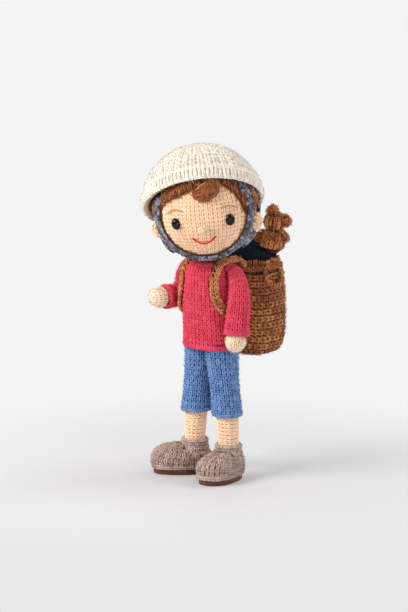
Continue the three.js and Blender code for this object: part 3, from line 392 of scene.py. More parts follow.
@dataclass(frozen=True)
class Gloss(Finish):
    """Polished black plastic of the eyes."""

    def material(self) -> Material:
        """Near-black and glossy, with faint handling marks.

        Returns:
            The material.
        """
        material, board, principled, at = self.shader()
        marks = self.noise(board, at, 1.2, 4.0)
        colour = self.ramp(board, marks, ((0.3, self.colour), (0.8, tuple(c + 10 for c in self.colour))))
        rough = board.add("ShaderNodeMapRange", {"Value": marks, "To Min": 0.06, "To Max": 0.14})
        board.feed(principled, {
            "Base Color": colour, "Roughness": rough.outputs["Result"], "Specular IOR Level": 0.27,
        })
        return material


@dataclass(frozen=True)
class Leather(Finish):
    """Smooth sole leather with a pebbled grain and rubbed patches."""

    worn: Colour = (130, 70, 55)

    def material(self) -> Material:
        """Grain cells in the relief, and broad rubbed patches in the colour.

        Returns:
            The material.
        """
        material, board, principled, at = self.shader()
        patches = self.noise(board, at, 6.0, 5.0)
        colour = self.ramp(board, patches, ((0.3, self.colour), (0.75, self.worn)))
        grain = board.add("ShaderNodeTexVoronoi", {"Vector": at, "Scale": 1 / (0.8 * MM)})
        self.bump(board, principled, grain.outputs["Distance"], 0.12, 0.8)
        board.feed(principled, {"Base Color": colour, "Roughness": 0.5})
        return material


@dataclass(frozen=True)
class Solid(Finish):
    """A plain hard finish, such as a dowel, a wire or a moulded washer."""

    dark: Colour = (60, 60, 60)
    grain: float = 0.6
    stretch: tuple[float, float, float] = (1.0, 1.0, 0.1)
    roughness: float = 0.5
    metallic: float = 0.0

    def material(self) -> Material:
        """Grain drawn out along the piece, in the colour and the relief.

        Returns:
            The material.
        """
        material, board, principled, at = self.shader()
        drawn = board.add("ShaderNodeMapping", {"Vector": at, "Scale": self.stretch}).outputs["Vector"]
        grain = self.noise(board, drawn, self.grain, 4.0)
        colour = self.ramp(board, grain, ((0.3, self.dark), (0.7, self.colour)))
        self.bump(board, principled, grain, 0.03)
        board.feed(principled, {"Base Color": colour, "Roughness": self.roughness, "Metallic": self.metallic})
        return material


class Finishes:
    """Every finish of the doll, made once."""

    skin = Yarn("skin_yarn", "skin_yarn", (246, 212, 178), (226, 158, 98), (255, 230, 204), mottle=0.3)
    hand = Yarn("hand_yarn", "skin_yarn", (250, 224, 197), (220, 162, 112), (255, 240, 222), mottle=0.3)
    crimson = Yarn("crimson_yarn", "crimson_yarn", (212, 58, 84), (132, 8, 32), (242, 98, 120), uneven=0.2)
    blue = Yarn("blue_yarn", "blue_yarn", (94, 130, 184), (16, 34, 80), (150, 182, 226), uneven=0.25)
    greige = Yarn("shoe_yarn", "shoe_yarn", (168, 142, 130), (92, 66, 56), (212, 192, 180), mottle=0.6,
                  uneven=0.35)
    cream = Yarn("cream_yarn", "cream_yarn", (234, 227, 214), (208, 190, 158), (248, 243, 234), mottle=0.25)
    grey = Yarn("grey_yarn", "grey_yarn", (80, 78, 90), (12, 12, 20), (184, 182, 194), fibre=1.0, mottle=0.9,
                uneven=0.6)
    pack = Yarn("bag_yarn", "bag_yarn", (150, 88, 46), (66, 32, 14), (216, 152, 96), fibre=0.8, mottle=0.75,
                uneven=0.45)
    strap = Yarn("strap_yarn", "strap_yarn", (182, 112, 66), (56, 24, 10), (232, 172, 120), fibre=0.8,
                 mottle=0.7, uneven=0.45)
    teal = Yarn("teal_yarn", "teal_yarn", (8, 30, 36), (1, 6, 8), (22, 66, 76), sheen=0.0)
    bear = Yarn("bear_yarn", "bear_yarn", (186, 106, 56), (70, 30, 12), (242, 172, 110), fibre=0.8,
                mottle=0.9, uneven=0.7)
    hair = Yarn("hair_yarn", "hair_yarn", (158, 92, 46), (100, 50, 22), (214, 146, 92), fibre=0.8, mottle=0.5,
                plies=0.0, uneven=0.7)
    # Painted shade: the lock is worked in the hair yarn made darker.
    lock = Yarn("lock_yarn", "hair_yarn", (146, 82, 42), (86, 42, 18), (200, 132, 82), fibre=0.8, mottle=0.5,
                plies=0.0, uneven=0.7)
    # A painted highlight: the pale strand along the lock's edge.
    edge_highlight = Yarn("hair_wisp", "hair_yarn", (206, 152, 108), (160, 104, 64), (232, 186, 146), fibre=0.3)
    brow = Yarn("brow_thread", "brow_thread", (184, 134, 104), (150, 100, 74), (204, 156, 126), fibre=0.2)
    smile = Yarn("smile_thread", "smile_thread", (222, 38, 44), (150, 16, 22), (246, 84, 84), fibre=0.2,
                 sheen=0.1)
    eye = Gloss("eye_plastic", "eye_plastic", (6, 6, 8))
    sole = Leather("sole_leather", "sole_leather", (68, 30, 22), worn=(112, 54, 38))
    post = Solid("post_wood", "post_wood", (206, 174, 124), (160, 120, 76), 1.2)
    wire = Solid("wire_steel", "wire_steel", (186, 188, 192), (140, 142, 148), 0.3, roughness=0.35,
                 metallic=1.0)
    washer = Solid("washer_plastic", "washer_plastic", (232, 232, 226), (214, 214, 206), 1.5, (1.0, 1.0, 1.0))


# Laying stitches on the CAD surfaces

class Surface:
    """The outside of some CAD nodes, for finding places on it."""

    def __init__(self, *nodes: str) -> None:
        """Takes the nodes' names.

        Args:
            nodes: The nodes' names.
        """
        corners: list[Vector] = []
        faces: list[list[int]] = []
        for name in nodes:
            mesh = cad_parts[name].data
            start = len(corners)
            corners += [v.co / MM for v in mesh.vertices]
            faces += [[start + i for i in p.vertices] for p in mesh.polygons]
        self.tree = BVHTree.FromPolygons(corners, faces)

    def outermost(self, origin: Point, direction: Point, reach: float) -> float:
        """How far out along the direction the surface's outside is, or nan past the reach.

        Args:
            origin: Where the line starts.
            direction: Which way it runs.
            reach: How far out the surface is looked for.

        Returns:
            The distance.
        """
        start = Vector(origin + direction * reach)
        hit = self.tree.ray_cast(start, Vector(-direction), reach)
        return math.nan if hit[0] is None else reach - hit[3]

    def above(self, place: Point, out: Point, gap: float) -> bool:
        """Whether the surface lies over a place, within the gap."""
        return self.tree.ray_cast(Vector(place - 0.4 * out), Vector(out), gap + 0.4)[0] is not None


@dataclass
class Station:
    """One ring of rays: where they start, their frame and how far they tilt towards the axis."""

    origin: Point
    right: Point
    front: Point
    axis: Point
    tilt: float

    def ray(self, angle: float) -> Point:
        """The direction of the ray at an angle round the ring."""
        flat = self.right * math.cos(angle) + self.front * math.sin(angle)
        return flat * math.cos(self.tilt) + self.axis * math.sin(self.tilt)


def dome(centre: Point, axis: Point, start: Point, low: float, high: float, count: int = 60) -> list[Station]:
    """Rings about a centre, from one tilt to another.

    Args:
        centre: Where all the rays start.
        axis: The direction of the pole.
        start: The side where each ring starts.
        low: The first ring's tilt in degrees.
        high: The last ring's tilt in degrees.
        count: How many rings.

    Returns:
        The rings, in order.
    """
    axis = unit(axis)
    right = unit(start - axis * np.dot(start, axis))
    front = np.cross(axis, right)
    return [Station(centre, right, front, axis, math.radians(t)) for t in np.linspace(low, high, count)]


def tube(points: Sequence[Point], start: Point, count: int = 60, faces: Sequence[Point] | None = None,
         first_cap: bool = False, level: bool = False) -> list[Station]:
    """Rings along a line, each square to it.

    Args:
        points: The places that the line goes through.
        start: The side where each ring starts.
        count: How many rings lie on the line.
        faces: Where given, the side where the ring starts at each of the points.
        first_cap: Whether rings close the line's first end.
        level: Whether the rings stay level where the line leans.

    Returns:
        The rings, in order.
    """
    line = smooth_path(points, count)
    along = np.tile((0.0, 0.0, 1.0), (count, 1)) if level else unit(np.gradient(line, axis=0))
    rights = smooth_path(faces, count) if faces is not None else np.tile(start, (count, 1))
    stations = []
    right = rights[0]
    for place, axis, face in zip(line, along, rights):
        right = face if faces is not None else right
        right = unit(right - axis * np.dot(right, axis))
        stations.append(Station(place, right, np.cross(axis, right), axis, 0.0))
    tilts = np.radians(np.linspace(0, 88, 14))[1:]
    head = stations[0]
    if first_cap:
        stations = [replace(head, tilt=-t) for t in tilts[::-1]] + stations
    return stations


@dataclass
class Laid:
    """Places of stitches: where each is, which way it looks and runs, and its cell."""

    places: np.ndarray
    outs: np.ndarray
    ups: np.ndarray
    sizes: np.ndarray

    def keep(self, mask: np.ndarray) -> "Laid":
        """The places that the mask keeps."""
        return Laid(self.places[mask], self.outs[mask], self.ups[mask], self.sizes[mask])

    def lifted(self, height: float) -> "Laid":
        """The places moved outwards."""
        return Laid(self.places + self.outs * height, self.outs, self.ups, self.sizes)

    def sideways(self) -> "Laid":
        """The places turned so that the stitches lie along the round."""
        return Laid(self.places, self.outs, np.cross(self.outs, self.ups), self.sizes[:, [1, 0, 2]])

    @staticmethod
    def of(found: Sequence[tuple]) -> "Laid":
        """Single places as one set."""
        return Laid(*(np.array([f[k] for f in found], float).reshape(-1, 3) for k in range(4)))

    @staticmethod
    def together(parts: Sequence["Laid"]) -> "Laid":
        """Several sets as one."""
        return Laid(*(np.concatenate([getattr(p, key) for p in parts])
                      for key in ("places", "outs", "ups", "sizes")))


class Skin:
    """The outer surface of CAD nodes as a smooth grid of rings and angles."""

    def __init__(self, nodes: Sequence[str], stations: list[Station], reach: float,
                 soften: tuple[int, int] = (1, 2), ball: bool = False) -> None:
        """Casts the grid.

        Args:
            nodes: The CAD nodes whose outside is read.
            stations: The rings of rays.
            reach: How far out from the ring's middle the outside is looked for.
            soften: Over how many rings and angles the facets are evened out.
            ball: Whether each ring is round, so that rays that fall into a bore are put right.
        """
        surface = Surface(*nodes)
        angles = np.linspace(0, 2 * math.pi, GRID_ANGLES, endpoint=False)
        rays = np.array([[s.ray(a) for a in angles] for s in stations])
        origins = np.array([s.origin for s in stations])[:, None, :]
        far = np.array([[surface.outermost(station.origin, ray, reach) for ray in row]
                        for station, row in zip(stations, rays)])
        self.valid = ~np.isnan(far)
        far = self.filled(far)
        if ball:
            middle = np.median(far, axis=1, keepdims=True)
            far = np.where(np.abs(far - middle) > 0.04 * middle, middle, far)
        far = self.even(far, soften)
        self.places = origins + rays * far[..., None]
        round_way = np.roll(self.places, -1, 1) - np.roll(self.places, 1, 1)
        up_way = np.gradient(self.places, axis=0)
        out = unit(np.cross(round_way, up_way))
        self.outs = np.where(np.sum(out * rays, axis=-1, keepdims=True) < 0, -out, out)
        self.ups = unit(up_way)
        steps = np.linalg.norm(np.diff(self.places, axis=0), axis=-1)
        both = self.valid[1:] & self.valid[:-1]
        mean = np.where(both.any(1), (steps * both).sum(1) / np.maximum(both.sum(1), 1), steps.mean(1))
        self.run = np.concatenate(((0,), np.cumsum(mean)))

    @staticmethod
    def filled(far: np.ndarray) -> np.ndarray:
        """Fills holes with the nearest values round the ring, or the whole grid's mean.

        Args:
            far: Distances, with nan in the holes.

        Returns:
            The distances without holes.
        """
        out = far.copy()
        whole = np.nanmean(far)
        for row in out:
            good = np.flatnonzero(~np.isnan(row))
            if len(good) == 0:
                row[:] = whole
            elif len(good) < len(row):
                row[:] = np.interp(np.arange(len(row)), good, row[good], period=len(row))
        return out

    @staticmethod
    def even(far: np.ndarray, soften: tuple[int, int]) -> np.ndarray:
        """Averages over neighbouring rings and angles.

        Args:
            far: The distances.
            soften: How many rings and angles to each side.

        Returns:
            The even distances.
        """
        rings, angles = soften
        total = sum(np.roll(far, k, 1) for k in range(-angles, angles + 1)) / (2 * angles + 1)
        padded = np.pad(total, ((rings, rings), (0, 0)), mode="edge")
        return sum(padded[k:k + len(far)] for k in range(2 * rings + 1)) / (2 * rings + 1)

    def at(self, run: float) -> tuple[np.ndarray, np.ndarray, np.ndarray, np.ndarray]:
        """Places, outs, ups and holes round the grid at a distance along it.

        Args:
            run: The distance along the grid.

        Returns:
            The places, their outs and ups, and which of them lie on the surface.
        """
        i = int(np.clip(np.searchsorted(self.run, run) - 1, 0, len(self.run) - 2))
        t = (run - self.run[i]) / max(self.run[i + 1] - self.run[i], 1e-9)
        mix = [a[i] * (1 - t) + a[i + 1] * t for a in (self.places, self.outs, self.ups)]
        return mix[0], unit(mix[1]), unit(mix[2]), self.valid[i] & self.valid[i + 1]

    def rows(self, wide: float, tall: float, columns: int | None = None, first: float = 0.0,
             last: float = 1.0, drift: float = 0.0) -> Laid:
        """Stitches in rounds of even height, in columns that hold until the round is a step smaller.

        Args:
            wide: The width of a stitch.
            tall: The height of a round.
            columns: How many stitches each round has, or None to fit the width.
            first: The share of the run where the rounds start.
            last: The share of the run where they end.
            drift: How far each round starts past the last, in stitches.

        Returns:
            The places of the stitches.
        """
        low, high = first * self.run[-1], last * self.run[-1]
        count = max(1, round((high - low) / tall))
        height = (high - low) / count
        widest = np.linalg.norm(np.diff(self.places, axis=1, append=self.places[:, :1]), axis=-1).sum(1).max()
        most = max(3, round(widest / wide))
        found: list[tuple] = []
        for k in range(count):
            ring, outs, ups, good = self.at(low + (k + 0.5) * height)
            talls = np.linalg.norm(self.at(low + (k + 1) * height)[0] - self.at(low + k * height)[0], axis=1)
            talls = np.clip(talls, 0.45 * height, 1.5 * height)
            closed = np.vstack((ring, ring[:1]))
            round_run = run_along(closed)
            girth = round_run[-1]
            n = columns or next(max(3, round(most * s)) for s in COUNT_STEPS if s >= 0.98 * girth / widest)
            for j in range(n):
                place = ((j + 0.5 + drift * k) % n) * girth / n
                m = int(np.clip(np.searchsorted(round_run, place) - 1, 0, GRID_ANGLES - 1))
                t = (place - round_run[m]) / max(round_run[m + 1] - round_run[m], 1e-9)
                if good[m] and good[(m + 1) % GRID_ANGLES]:
                    local = between(talls, m, t)
                    deep = girth / n * math.sqrt(min(1.0, local / height))
                    found.append((between(ring, m, t), unit(between(outs, m, t)), unit(between(ups, m, t)),
                                  (girth / n, local, deep)))
        return Laid.of(found)

    def hem(self, run: float, wide: float = 3.0, tall: float = 2.6) -> Laid:
        """A round of sideways stitches at a distance along the surface.

        Args:
            run: The distance from the first ring, or from the last one where it is negative.
            wide: The length of a stitch along the round.
            tall: The height of the round.

        Returns:
            The places of the stitches.
        """
        middle = (run if run >= 0 else self.run[-1] + run) / self.run[-1]
        half = tall / 2 / self.run[-1]
        return self.rows(wide, tall, first=middle - half, last=middle + half).sideways()

    def scatter(self, count: int, length: float, spread: float, seed: int, first: float = 0.0,
                last: float = 1.0, down: bool = True) -> Laid:
        """Short fibres strewn evenly over the surface.

        Args:
            count: How many fibres.
            length: A fibre's length.
            spread: How far their directions differ, in degrees.
            seed: The fixed seed.
            first: The share of the run where they start.
            last: The share of the run where they end.
            down: Whether they run against the rings' order.

        Returns:
            The places of the fibres.
        """
        rng = np.random.default_rng(seed)
        girth = np.linalg.norm(np.diff(self.places, axis=1), axis=-1).sum(1)
        low, high = first * self.run[-1], last * self.run[-1]
        inside = (self.run >= low) & (self.run <= high)
        weight = np.cumsum(girth * inside)
        found: list[tuple] = []
        for pick in rng.random(count):
            run = np.interp(pick * weight[-1], weight, self.run) + rng.normal() * 0.4
            ring, outs, ups, good = self.at(float(np.clip(run, low, high)))
            m = int(rng.integers(GRID_ANGLES))
            t = rng.random()
            if not (good[m] and good[(m + 1) % GRID_ANGLES]):
                continue
            out = unit(between(outs, m, t))
            up = ups[m] * (-1 if down else 1)
            side = np.cross(out, up)
            angle = math.radians(rng.normal() * spread)
            size = length * rng.uniform(0.6, 1.2)
            found.append((between(ring, m, t), out, unit(up * math.cos(angle) + side * math.sin(angle)),
                          (size, size, size)))
        return Laid.of(found)


# Stitch shapes

@dataclass(frozen=True)
class Strand:
    """One strand of yarn in a stitch's cell, which is 1 wide, 1 tall and 1 deep about its middle."""

    name: str
    start: tuple[float, float, float]
    middle: tuple[float, float, float]
    end: tuple[float, float, float]
    radius: float

    def top(self) -> float:
        """The height of the strand's upper side where it is highest.

        Returns:
            The height, in cell widths.
        """
        t = np.linspace(0, 1, 21)
        line = (1 - t) ** 2 * self.start[2] + 2 * t * (1 - t) * self.middle[2] + t ** 2 * self.end[2]
        return float(line.max()) + self.radius


class Stitch(Enum):
    """The stitches that the doll is made with."""

    VEE = (
        Strand("Left Leg", (-0.05, -0.58, -0.24), (-0.40, -0.04, 0.36), (-0.13, 0.52, -0.22), 0.228),
        Strand("Right Leg", (0.05, -0.58, -0.24), (0.40, -0.04, 0.36), (0.13, 0.52, -0.22), 0.228),
    )
    SNUG = (
        Strand("Left Leg", (-0.10, -0.60, -0.14), (-0.36, -0.10, 0.22), (-0.20, 0.52, -0.10), 0.235),
        Strand("Right Leg", (0.10, -0.60, -0.14), (0.36, -0.10, 0.22), (0.20, 0.52, -0.10), 0.235),
    )
    RIB = (
        Strand("Left Leg", (-0.14, -0.54, -0.14), (-0.33, -0.1, 0.26), (-0.20, 0.54, -0.10), 0.24),
        Strand("Right Leg", (0.14, -0.54, -0.14), (0.33, -0.1, 0.26), (0.20, 0.54, -0.10), 0.24),
    )
    BRAID = (
        Strand("Left Leg", (-0.04, -0.78, -0.2), (-0.34, -0.1, 0.4), (-0.22, 0.62, -0.1), 0.21),
        Strand("Right Leg", (0.04, -0.78, -0.2), (0.34, -0.1, 0.4), (0.22, 0.62, -0.1), 0.21),
    )
    CHAIN = (
        Strand("Left Leg", (-0.02, -0.60, -0.3), (-0.24, 0.02, 0.56), (-0.44, 0.50, -0.3), 0.2),
        Strand("Right Leg", (0.02, -0.60, -0.3), (0.24, 0.02, 0.56), (0.44, 0.50, -0.3), 0.2),
    )
    RIDGE = (
        Strand("Left Leg", (-0.05, -0.62, -0.26), (-0.21, 0.0, 0.56), (-0.37, 0.54, -0.26), 0.2),
        Strand("Right Leg", (0.05, -0.62, -0.26), (0.21, 0.0, 0.56), (0.37, 0.54, -0.26), 0.2),
    )
    FIBRE = (
        Strand("Hair", (0.0, -0.5, -0.04), (0.12, 0.0, 0.2), (-0.04, 0.5, 0.04), 0.02),
    )


class StitchTree:
    """The Geometry Nodes tree that works one stitch into every place."""

    trees: dict[Stitch, bpy.types.NodeTree] = {}

    @classmethod
    def of(cls, stitch: Stitch) -> bpy.types.NodeTree:
        """The tree for a stitch, built once.

        Args:
            stitch: The stitch.

        Returns:
            Its tree.
        """
        if stitch not in cls.trees:
            cls.trees[stitch] = cls.build(stitch)
        return cls.trees[stitch]

    @classmethod
    def build(cls, stitch: Stitch) -> bpy.types.NodeTree:
        """Builds the tree.

        Args:
            stitch: The stitch to make.

        Returns:
            A tree with named inputs for the strands' places and thickness, the wobble, the seed and the
            finish.
        """
        tree = bpy.data.node_groups.new(f"{stitch.name.lower()}_stitch", "GeometryNodeTree")
        face = tree.interface
        face.new_socket("Geometry", in_out="INPUT", socket_type="NodeSocketGeometry")
        face.new_socket("Geometry", in_out="OUTPUT", socket_type="NodeSocketGeometry")
        face.new_socket("Finish", in_out="INPUT", socket_type="NodeSocketMaterial")
        inputs = [("Thickness", "Float", 1.0), ("Wobble", "Float", 0.08), ("Seed", "Int", 1),
                  ("Steps", "Int", 5), ("Sides", "Int", 6)]
        for strand in stitch.value:
            inputs += [(f"{strand.name} {part.title()}", "Vector", getattr(strand, part))
                       for part in ("start", "middle", "end")]
            inputs.append((f"{strand.name} Radius", "Float", strand.radius))
        for name, kind, default in inputs:
            face.new_socket(name, in_out="INPUT", socket_type=f"NodeSocket{kind}").default_value = default
        board = Board(tree)
        given = {socket.name: socket for socket in board.add("NodeGroupInput").outputs}
        legs = [cls.strand(board, given, strand) for strand in stitch.value]
        joined = board.add("GeometryNodeJoinGeometry")
        for leg in legs:
            tree.links.new(leg, joined.inputs[0])
        worked = cls.place(board, given, joined.outputs[0])
        real = board.add("GeometryNodeRealizeInstances", {"Geometry": worked}).outputs[0]
        smooth = board.add("GeometryNodeSetShadeSmooth", {"Geometry": real}).outputs[0]
        finished = board.add("GeometryNodeSetMaterial", {"Geometry": smooth, "Material": given["Finish"]})
        board.add("NodeGroupOutput", {0: finished.outputs[0]})
        return tree

    @staticmethod
    def strand(board: Board, given: dict[str, Socket], strand: Strand) -> Socket:
        """One strand as a round tube that thins at its ends.

        Args:
            board: The tree's board.
            given: The tree's inputs by name.
            strand: The strand.

        Returns:
            The tube.
        """
        curve = board.add("GeometryNodeCurveQuadraticBezier", {
            "Resolution": given["Steps"], "Start": given[f"{strand.name} Start"],
            "Middle": given[f"{strand.name} Middle"], "End": given[f"{strand.name} End"],
        }).outputs[0]
        share = board.add("GeometryNodeSplineParameter").outputs["Factor"]
        along = board.store(curve, "ply_along", share)
        off = board.maths("ABSOLUTE", board.maths("SUBTRACT", share, 0.5))
        thin = board.maths("SUBTRACT", 1.06, board.maths("MULTIPLY", board.maths("POWER", off, 2.0), 1.7))
        shaped = board.add("GeometryNodeSetCurveRadius", {"Curve": along, "Radius": thin}).outputs[0]
        ring = board.add("GeometryNodeCurvePrimitiveCircle", {
            "Resolution": given["Sides"],
            "Radius": board.maths("MULTIPLY", given[f"{strand.name} Radius"], given["Thickness"]),
        }, mode="RADIUS").outputs[0]
        facing = board.vectors("NORMALIZE", board.add("GeometryNodeInputPosition").outputs[0])
        marked = board.store(ring, "ply_round", facing, "FLOAT_VECTOR")
        return board.add("GeometryNodeCurveToMesh", {
            "Curve": shaped, "Profile Curve": marked, "Fill Caps": True,
        }).outputs[0]

    @staticmethod
    def place(board: Board, given: dict[str, Socket], stitch: Socket) -> Socket:
        """The stitch at every place, turned the way that the place looks and runs, with a little wobble.

        Args:
            board: The tree's board.
            given: The tree's inputs by name.
            stitch: The stitch's strands.

        Returns:
            The instances.
        """
        def named(name: str) -> Socket:
            """A vector that each place carries."""
            node = board.add("GeometryNodeInputNamedAttribute", {"Name": name}, data_type="FLOAT_VECTOR")
            return Board.out(node, "Attribute")

        outwards = board.add("FunctionNodeAlignRotationToVector", {"Vector": named("out")}, axis="Z")
        upright = board.add("FunctionNodeAlignRotationToVector", {
            "Rotation": outwards.outputs[0], "Vector": named("up"),
        }, axis="Y", pivot_axis="Z")
        high = board.add("ShaderNodeCombineXYZ", {i: given["Wobble"] for i in range(3)}).outputs[0]
        low = board.vectors("MULTIPLY", high, (-1.0, -1.0, -1.0))
        random = board.add("FunctionNodeRandomValue", {0: low, 1: high, "Seed": given["Seed"]},
                           data_type="FLOAT_VECTOR")
        shift = Board.out(random, "Value")
        turned = board.add("FunctionNodeRotateRotation", {
            "Rotation": upright.outputs[0],
            "Rotate By": board.add("FunctionNodeEulerToRotation", {0: shift}).outputs[0],
        }, rotation_space="LOCAL").outputs[0]
        size = board.vectors("MULTIPLY", named("size"), board.vectors("ADD", shift, (1.0, 1.0, 1.0)))
        instances = board.add("GeometryNodeInstanceOnPoints", {
            "Points": given["Geometry"], "Instance": stitch, "Rotation": turned, "Scale": size,
        }).outputs[0]
        shade = board.add("FunctionNodeRandomValue", {"Seed": board.maths("ADD", given["Seed"], 7.0)},
                          data_type="FLOAT")
        return board.store(instances, "shade", Board.out(shade, "Value"), domain="INSTANCE")


# Making pieces

def new_object(name: str, data: bpy.types.ID) -> Piece:
    """Puts a mesh, a lamp or a camera in the scene.

    Args:
        name: The new object's name.
        data: What it holds.

    Returns:
        The object.
    """
    made = bpy.data.objects.new(name, data)
    bpy.context.scene.collection.objects.link(made)
    return made


def new_mesh(name: str, corners: Sequence[Point], faces: Sequence[Sequence[int]] = ()) -> bpy.types.Mesh:
    """A mesh out of corners in millimetres.

    Args:
        name: The mesh's name.
        corners: The corners.
        faces: The corners of each face.

    Returns:
        The mesh.
    """
    mesh = bpy.data.meshes.new(name)
    mesh.from_pydata([tuple(c) for c in np.array(corners) * MM], [], faces)
    return mesh


def ring_faces(rings: int, sides: int) -> list[list[int]]:
    """The faces of a closed shape out of two poles, corners 0 and 1, and rings of corners between them.

    Args:
        rings: How many rings there are.
        sides: How many corners each has.

    Returns:
        The corners of each face.
    """
    faces = []
    for i in range(rings - 1):
        for j in range(sides):
            a, b = 2 + i * sides + j, 2 + i * sides + (j + 1) % sides
            faces.append([a, b, b + sides, a + sides])
    last = 2 + (rings - 1) * sides
    faces += [[0, 2 + (j + 1) % sides, 2 + j] for j in range(sides)]
    return faces + [[1, last + j, last + (j + 1) % sides] for j in range(sides)]


def smooth_object(name: str, mesh: bpy.types.Mesh, material: Material) -> Piece:
    """An object for a mesh that is shaded smoothly in one material.

    Args:
        name: The new object's name.
        mesh: The mesh.
        material: The material.

    Returns:
        The object.
    """
    mesh.shade_smooth()
    mesh.materials.append(material)
    return new_object(name, mesh)


def worked(name: str, laid: Laid, stitch: Stitch, material: Material, seed: int = 1,
           thickness: float = 1.0, wobble: float = 0.08, steps: int = 5, sides: int = 6) -> Piece:
    """Works a stitch into every place.

    Args:
        name: The new object's name.
        laid: The places.
        stitch: The stitch.
        material: Its finish.
        seed: The seed of the wobble.
        thickness: The yarn's thickness, where 1 is the stitch's own.
        wobble: How uneven the stitches are.
        steps: Segments along a strand.
        sides: Sides of a strand.

    Returns:
        A plain mesh object.
    """
    mesh = new_mesh(name, laid.places)
    for key, values in (("out", laid.outs), ("up", laid.ups), ("size", laid.sizes * MM)):
        layer = mesh.attributes.new(key, "FLOAT_VECTOR", "POINT")
        layer.data.foreach_set("vector", values.astype(np.float32).ravel())
    made = new_object(name, mesh)
    tree = StitchTree.of(stitch)
    modifier = made.modifiers.new("stitches", "NODES")
    modifier.node_group = tree
    sockets = {i.name: i.identifier for i in tree.interface.items_tree if i.in_out == "INPUT"}
    for key, value in (("Thickness", thickness), ("Wobble", wobble), ("Seed", seed), ("Steps", steps),
                       ("Sides", sides), ("Finish", material)):
        modifier[sockets[key]] = value
    graph = bpy.context.evaluated_depsgraph_get()
    plain = bpy.data.meshes.new_from_object(made.evaluated_get(graph))
    made.modifiers.remove(modifier)
    made.data = plain
    if not plain.materials:
        plain.materials.append(material)
    return made


def backing(name: str, nodes: Sequence[str], inset: float, material: Material) -> Piece:
    """A copy of CAD nodes drawn in a little, which shows between the stitches.

    Args:
        name: The new object's name.
        nodes: The CAD nodes.
        inset: How far the surface is drawn in.
        material: The finish.

    Returns:
        The object.
    """
    shape = bmesh.new()
    for node in nodes:
        shape.from_mesh(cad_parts[node].data)
    bmesh.ops.remove_doubles(shape, verts=shape.verts, dist=0.01 * MM)
    shape.normal_update()
    for vertex in shape.verts:
        vertex.co -= vertex.normal * inset * MM
    for face in shape.faces:
        face.smooth = True
        face.material_index = 0
    mesh = bpy.data.meshes.new(name)
    shape.to_mesh(mesh)
    shape.free()
    mesh.materials.clear()
    mesh.materials.append(material)
    return new_object(name, mesh)


def joined(name: str, parts: Sequence[Piece]) -> Piece:
    """Several mesh objects as one.

    Args:
        name: The name of the whole.
        parts: The objects, of which the first stays.

    Returns:
        The whole.
    """
    whole = parts[0]
    if len(parts) > 1:
        with bpy.context.temp_override(active_object=whole, object=whole, selected_objects=list(parts),
                                       selected_editable_objects=list(parts)):
            bpy.ops.object.join()
    whole.name = name
    whole.data.name = name
    return whole


def tube_mesh(name: str, line: np.ndarray, radius: float | np.ndarray, material: Material,
              sides: int = 8, twist: float = 1.5) -> Piece:
    """A closed round tube along a line, with the ply attributes of a strand.

    Args:
        name: The object's name.
        line: The points of its middle.
        radius: Its radius, or one for each point.
        material: The finish.
        sides: How many sides it has.
        twist: Turns of ply for each ten millimetres.

    Returns:
        The object.
    """
    count = len(line)
    radii = np.broadcast_to(np.asarray(radius, float), (count,))
    along = unit(np.gradient(line, axis=0))
    right = unit(np.cross(along[0], vec(0.3, 0.2, 1.0)))
    corners, rounds, alongs = [], [], []
    run = run_along(line)
    for i in range(count):
        right = unit(right - along[i] * np.dot(right, along[i]))
        front = np.cross(along[i], right)
        for j in range(sides):
            a = 2 * math.pi * j / sides
            corners.append(line[i] + radii[i] * (right * math.cos(a) + front * math.sin(a)))
            rounds.append((math.cos(a), math.sin(a), 0.0))
            alongs.append(run[i] * twist / 10 / 3)
    faces = [[i * sides + j, i * sides + (j + 1) % sides, (i + 1) * sides + (j + 1) % sides,
              (i + 1) * sides + j] for i in range(count - 1) for j in range(sides)]
    faces.append(list(range(sides))[::-1])
    faces.append([(count - 1) * sides + j for j in range(sides)])
    mesh = new_mesh(name, corners, faces)
    mesh.attributes.new("ply_round", "FLOAT_VECTOR", "POINT").data.foreach_set(
        "vector", np.array(rounds, np.float32).ravel())
    mesh.attributes.new("ply_along", "FLOAT", "POINT").data.foreach_set("value", np.array(alongs, np.float32))
    return smooth_object(name, mesh, material)


@dataclass
class Wardrobe:
    """The materials made so far, and how a finished piece is handed to the frame."""

    made: dict[str, Material] = field(default_factory=dict)

    def of(self, finish: Finish) -> Material:
        """The finish's material, made once.

        Args:
            finish: The finish.

        Returns:
            Its material.
        """
        if finish.name not in self.made:
            self.made[finish.name] = finish.material()
        return self.made[finish.name]

    def under(self, finish: Yarn) -> Material:
        """The material of the layer under the finish's stitches, in painted shade, made once.

        Args:
            finish: The finish.

        Returns:
            Its backing material.
        """
        key = f"{finish.name}_backing"
        if key not in self.made:
            self.made[key] = finish.backing()
        return self.made[key]

    def node(self, name: str, finish: Finish) -> None:
        """Gives a kept CAD node its finish.

        Args:
            name: The node's name.
            finish: Its finish.
        """
        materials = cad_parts[name].data.materials
        materials.clear()
        materials.append(self.of(finish))
        log.info("kept %s in %s", name, finish.name)

    @staticmethod
    def hand_over(piece: Piece, body: str, finish: Finish, nodes: Sequence[str],
                  fill: float | None = None) -> None:
        """Makes a piece ride on its body and stand for its nodes.

        Args:
            piece: The finished piece.
            body: The body that it rides on.
            finish: Its finish; not used.
            nodes: The CAD nodes that it replaces.
            fill: How full it is, where it is stuffed; not used.
        """
        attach(piece, body)
        if nodes:
            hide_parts(*nodes)
        triangles = sum(len(p.vertices) - 2 for p in piece.data.polygons)
        log.info("made %s on %s, %d triangles", piece.name, body, triangles)


WARDROBE = Wardrobe()


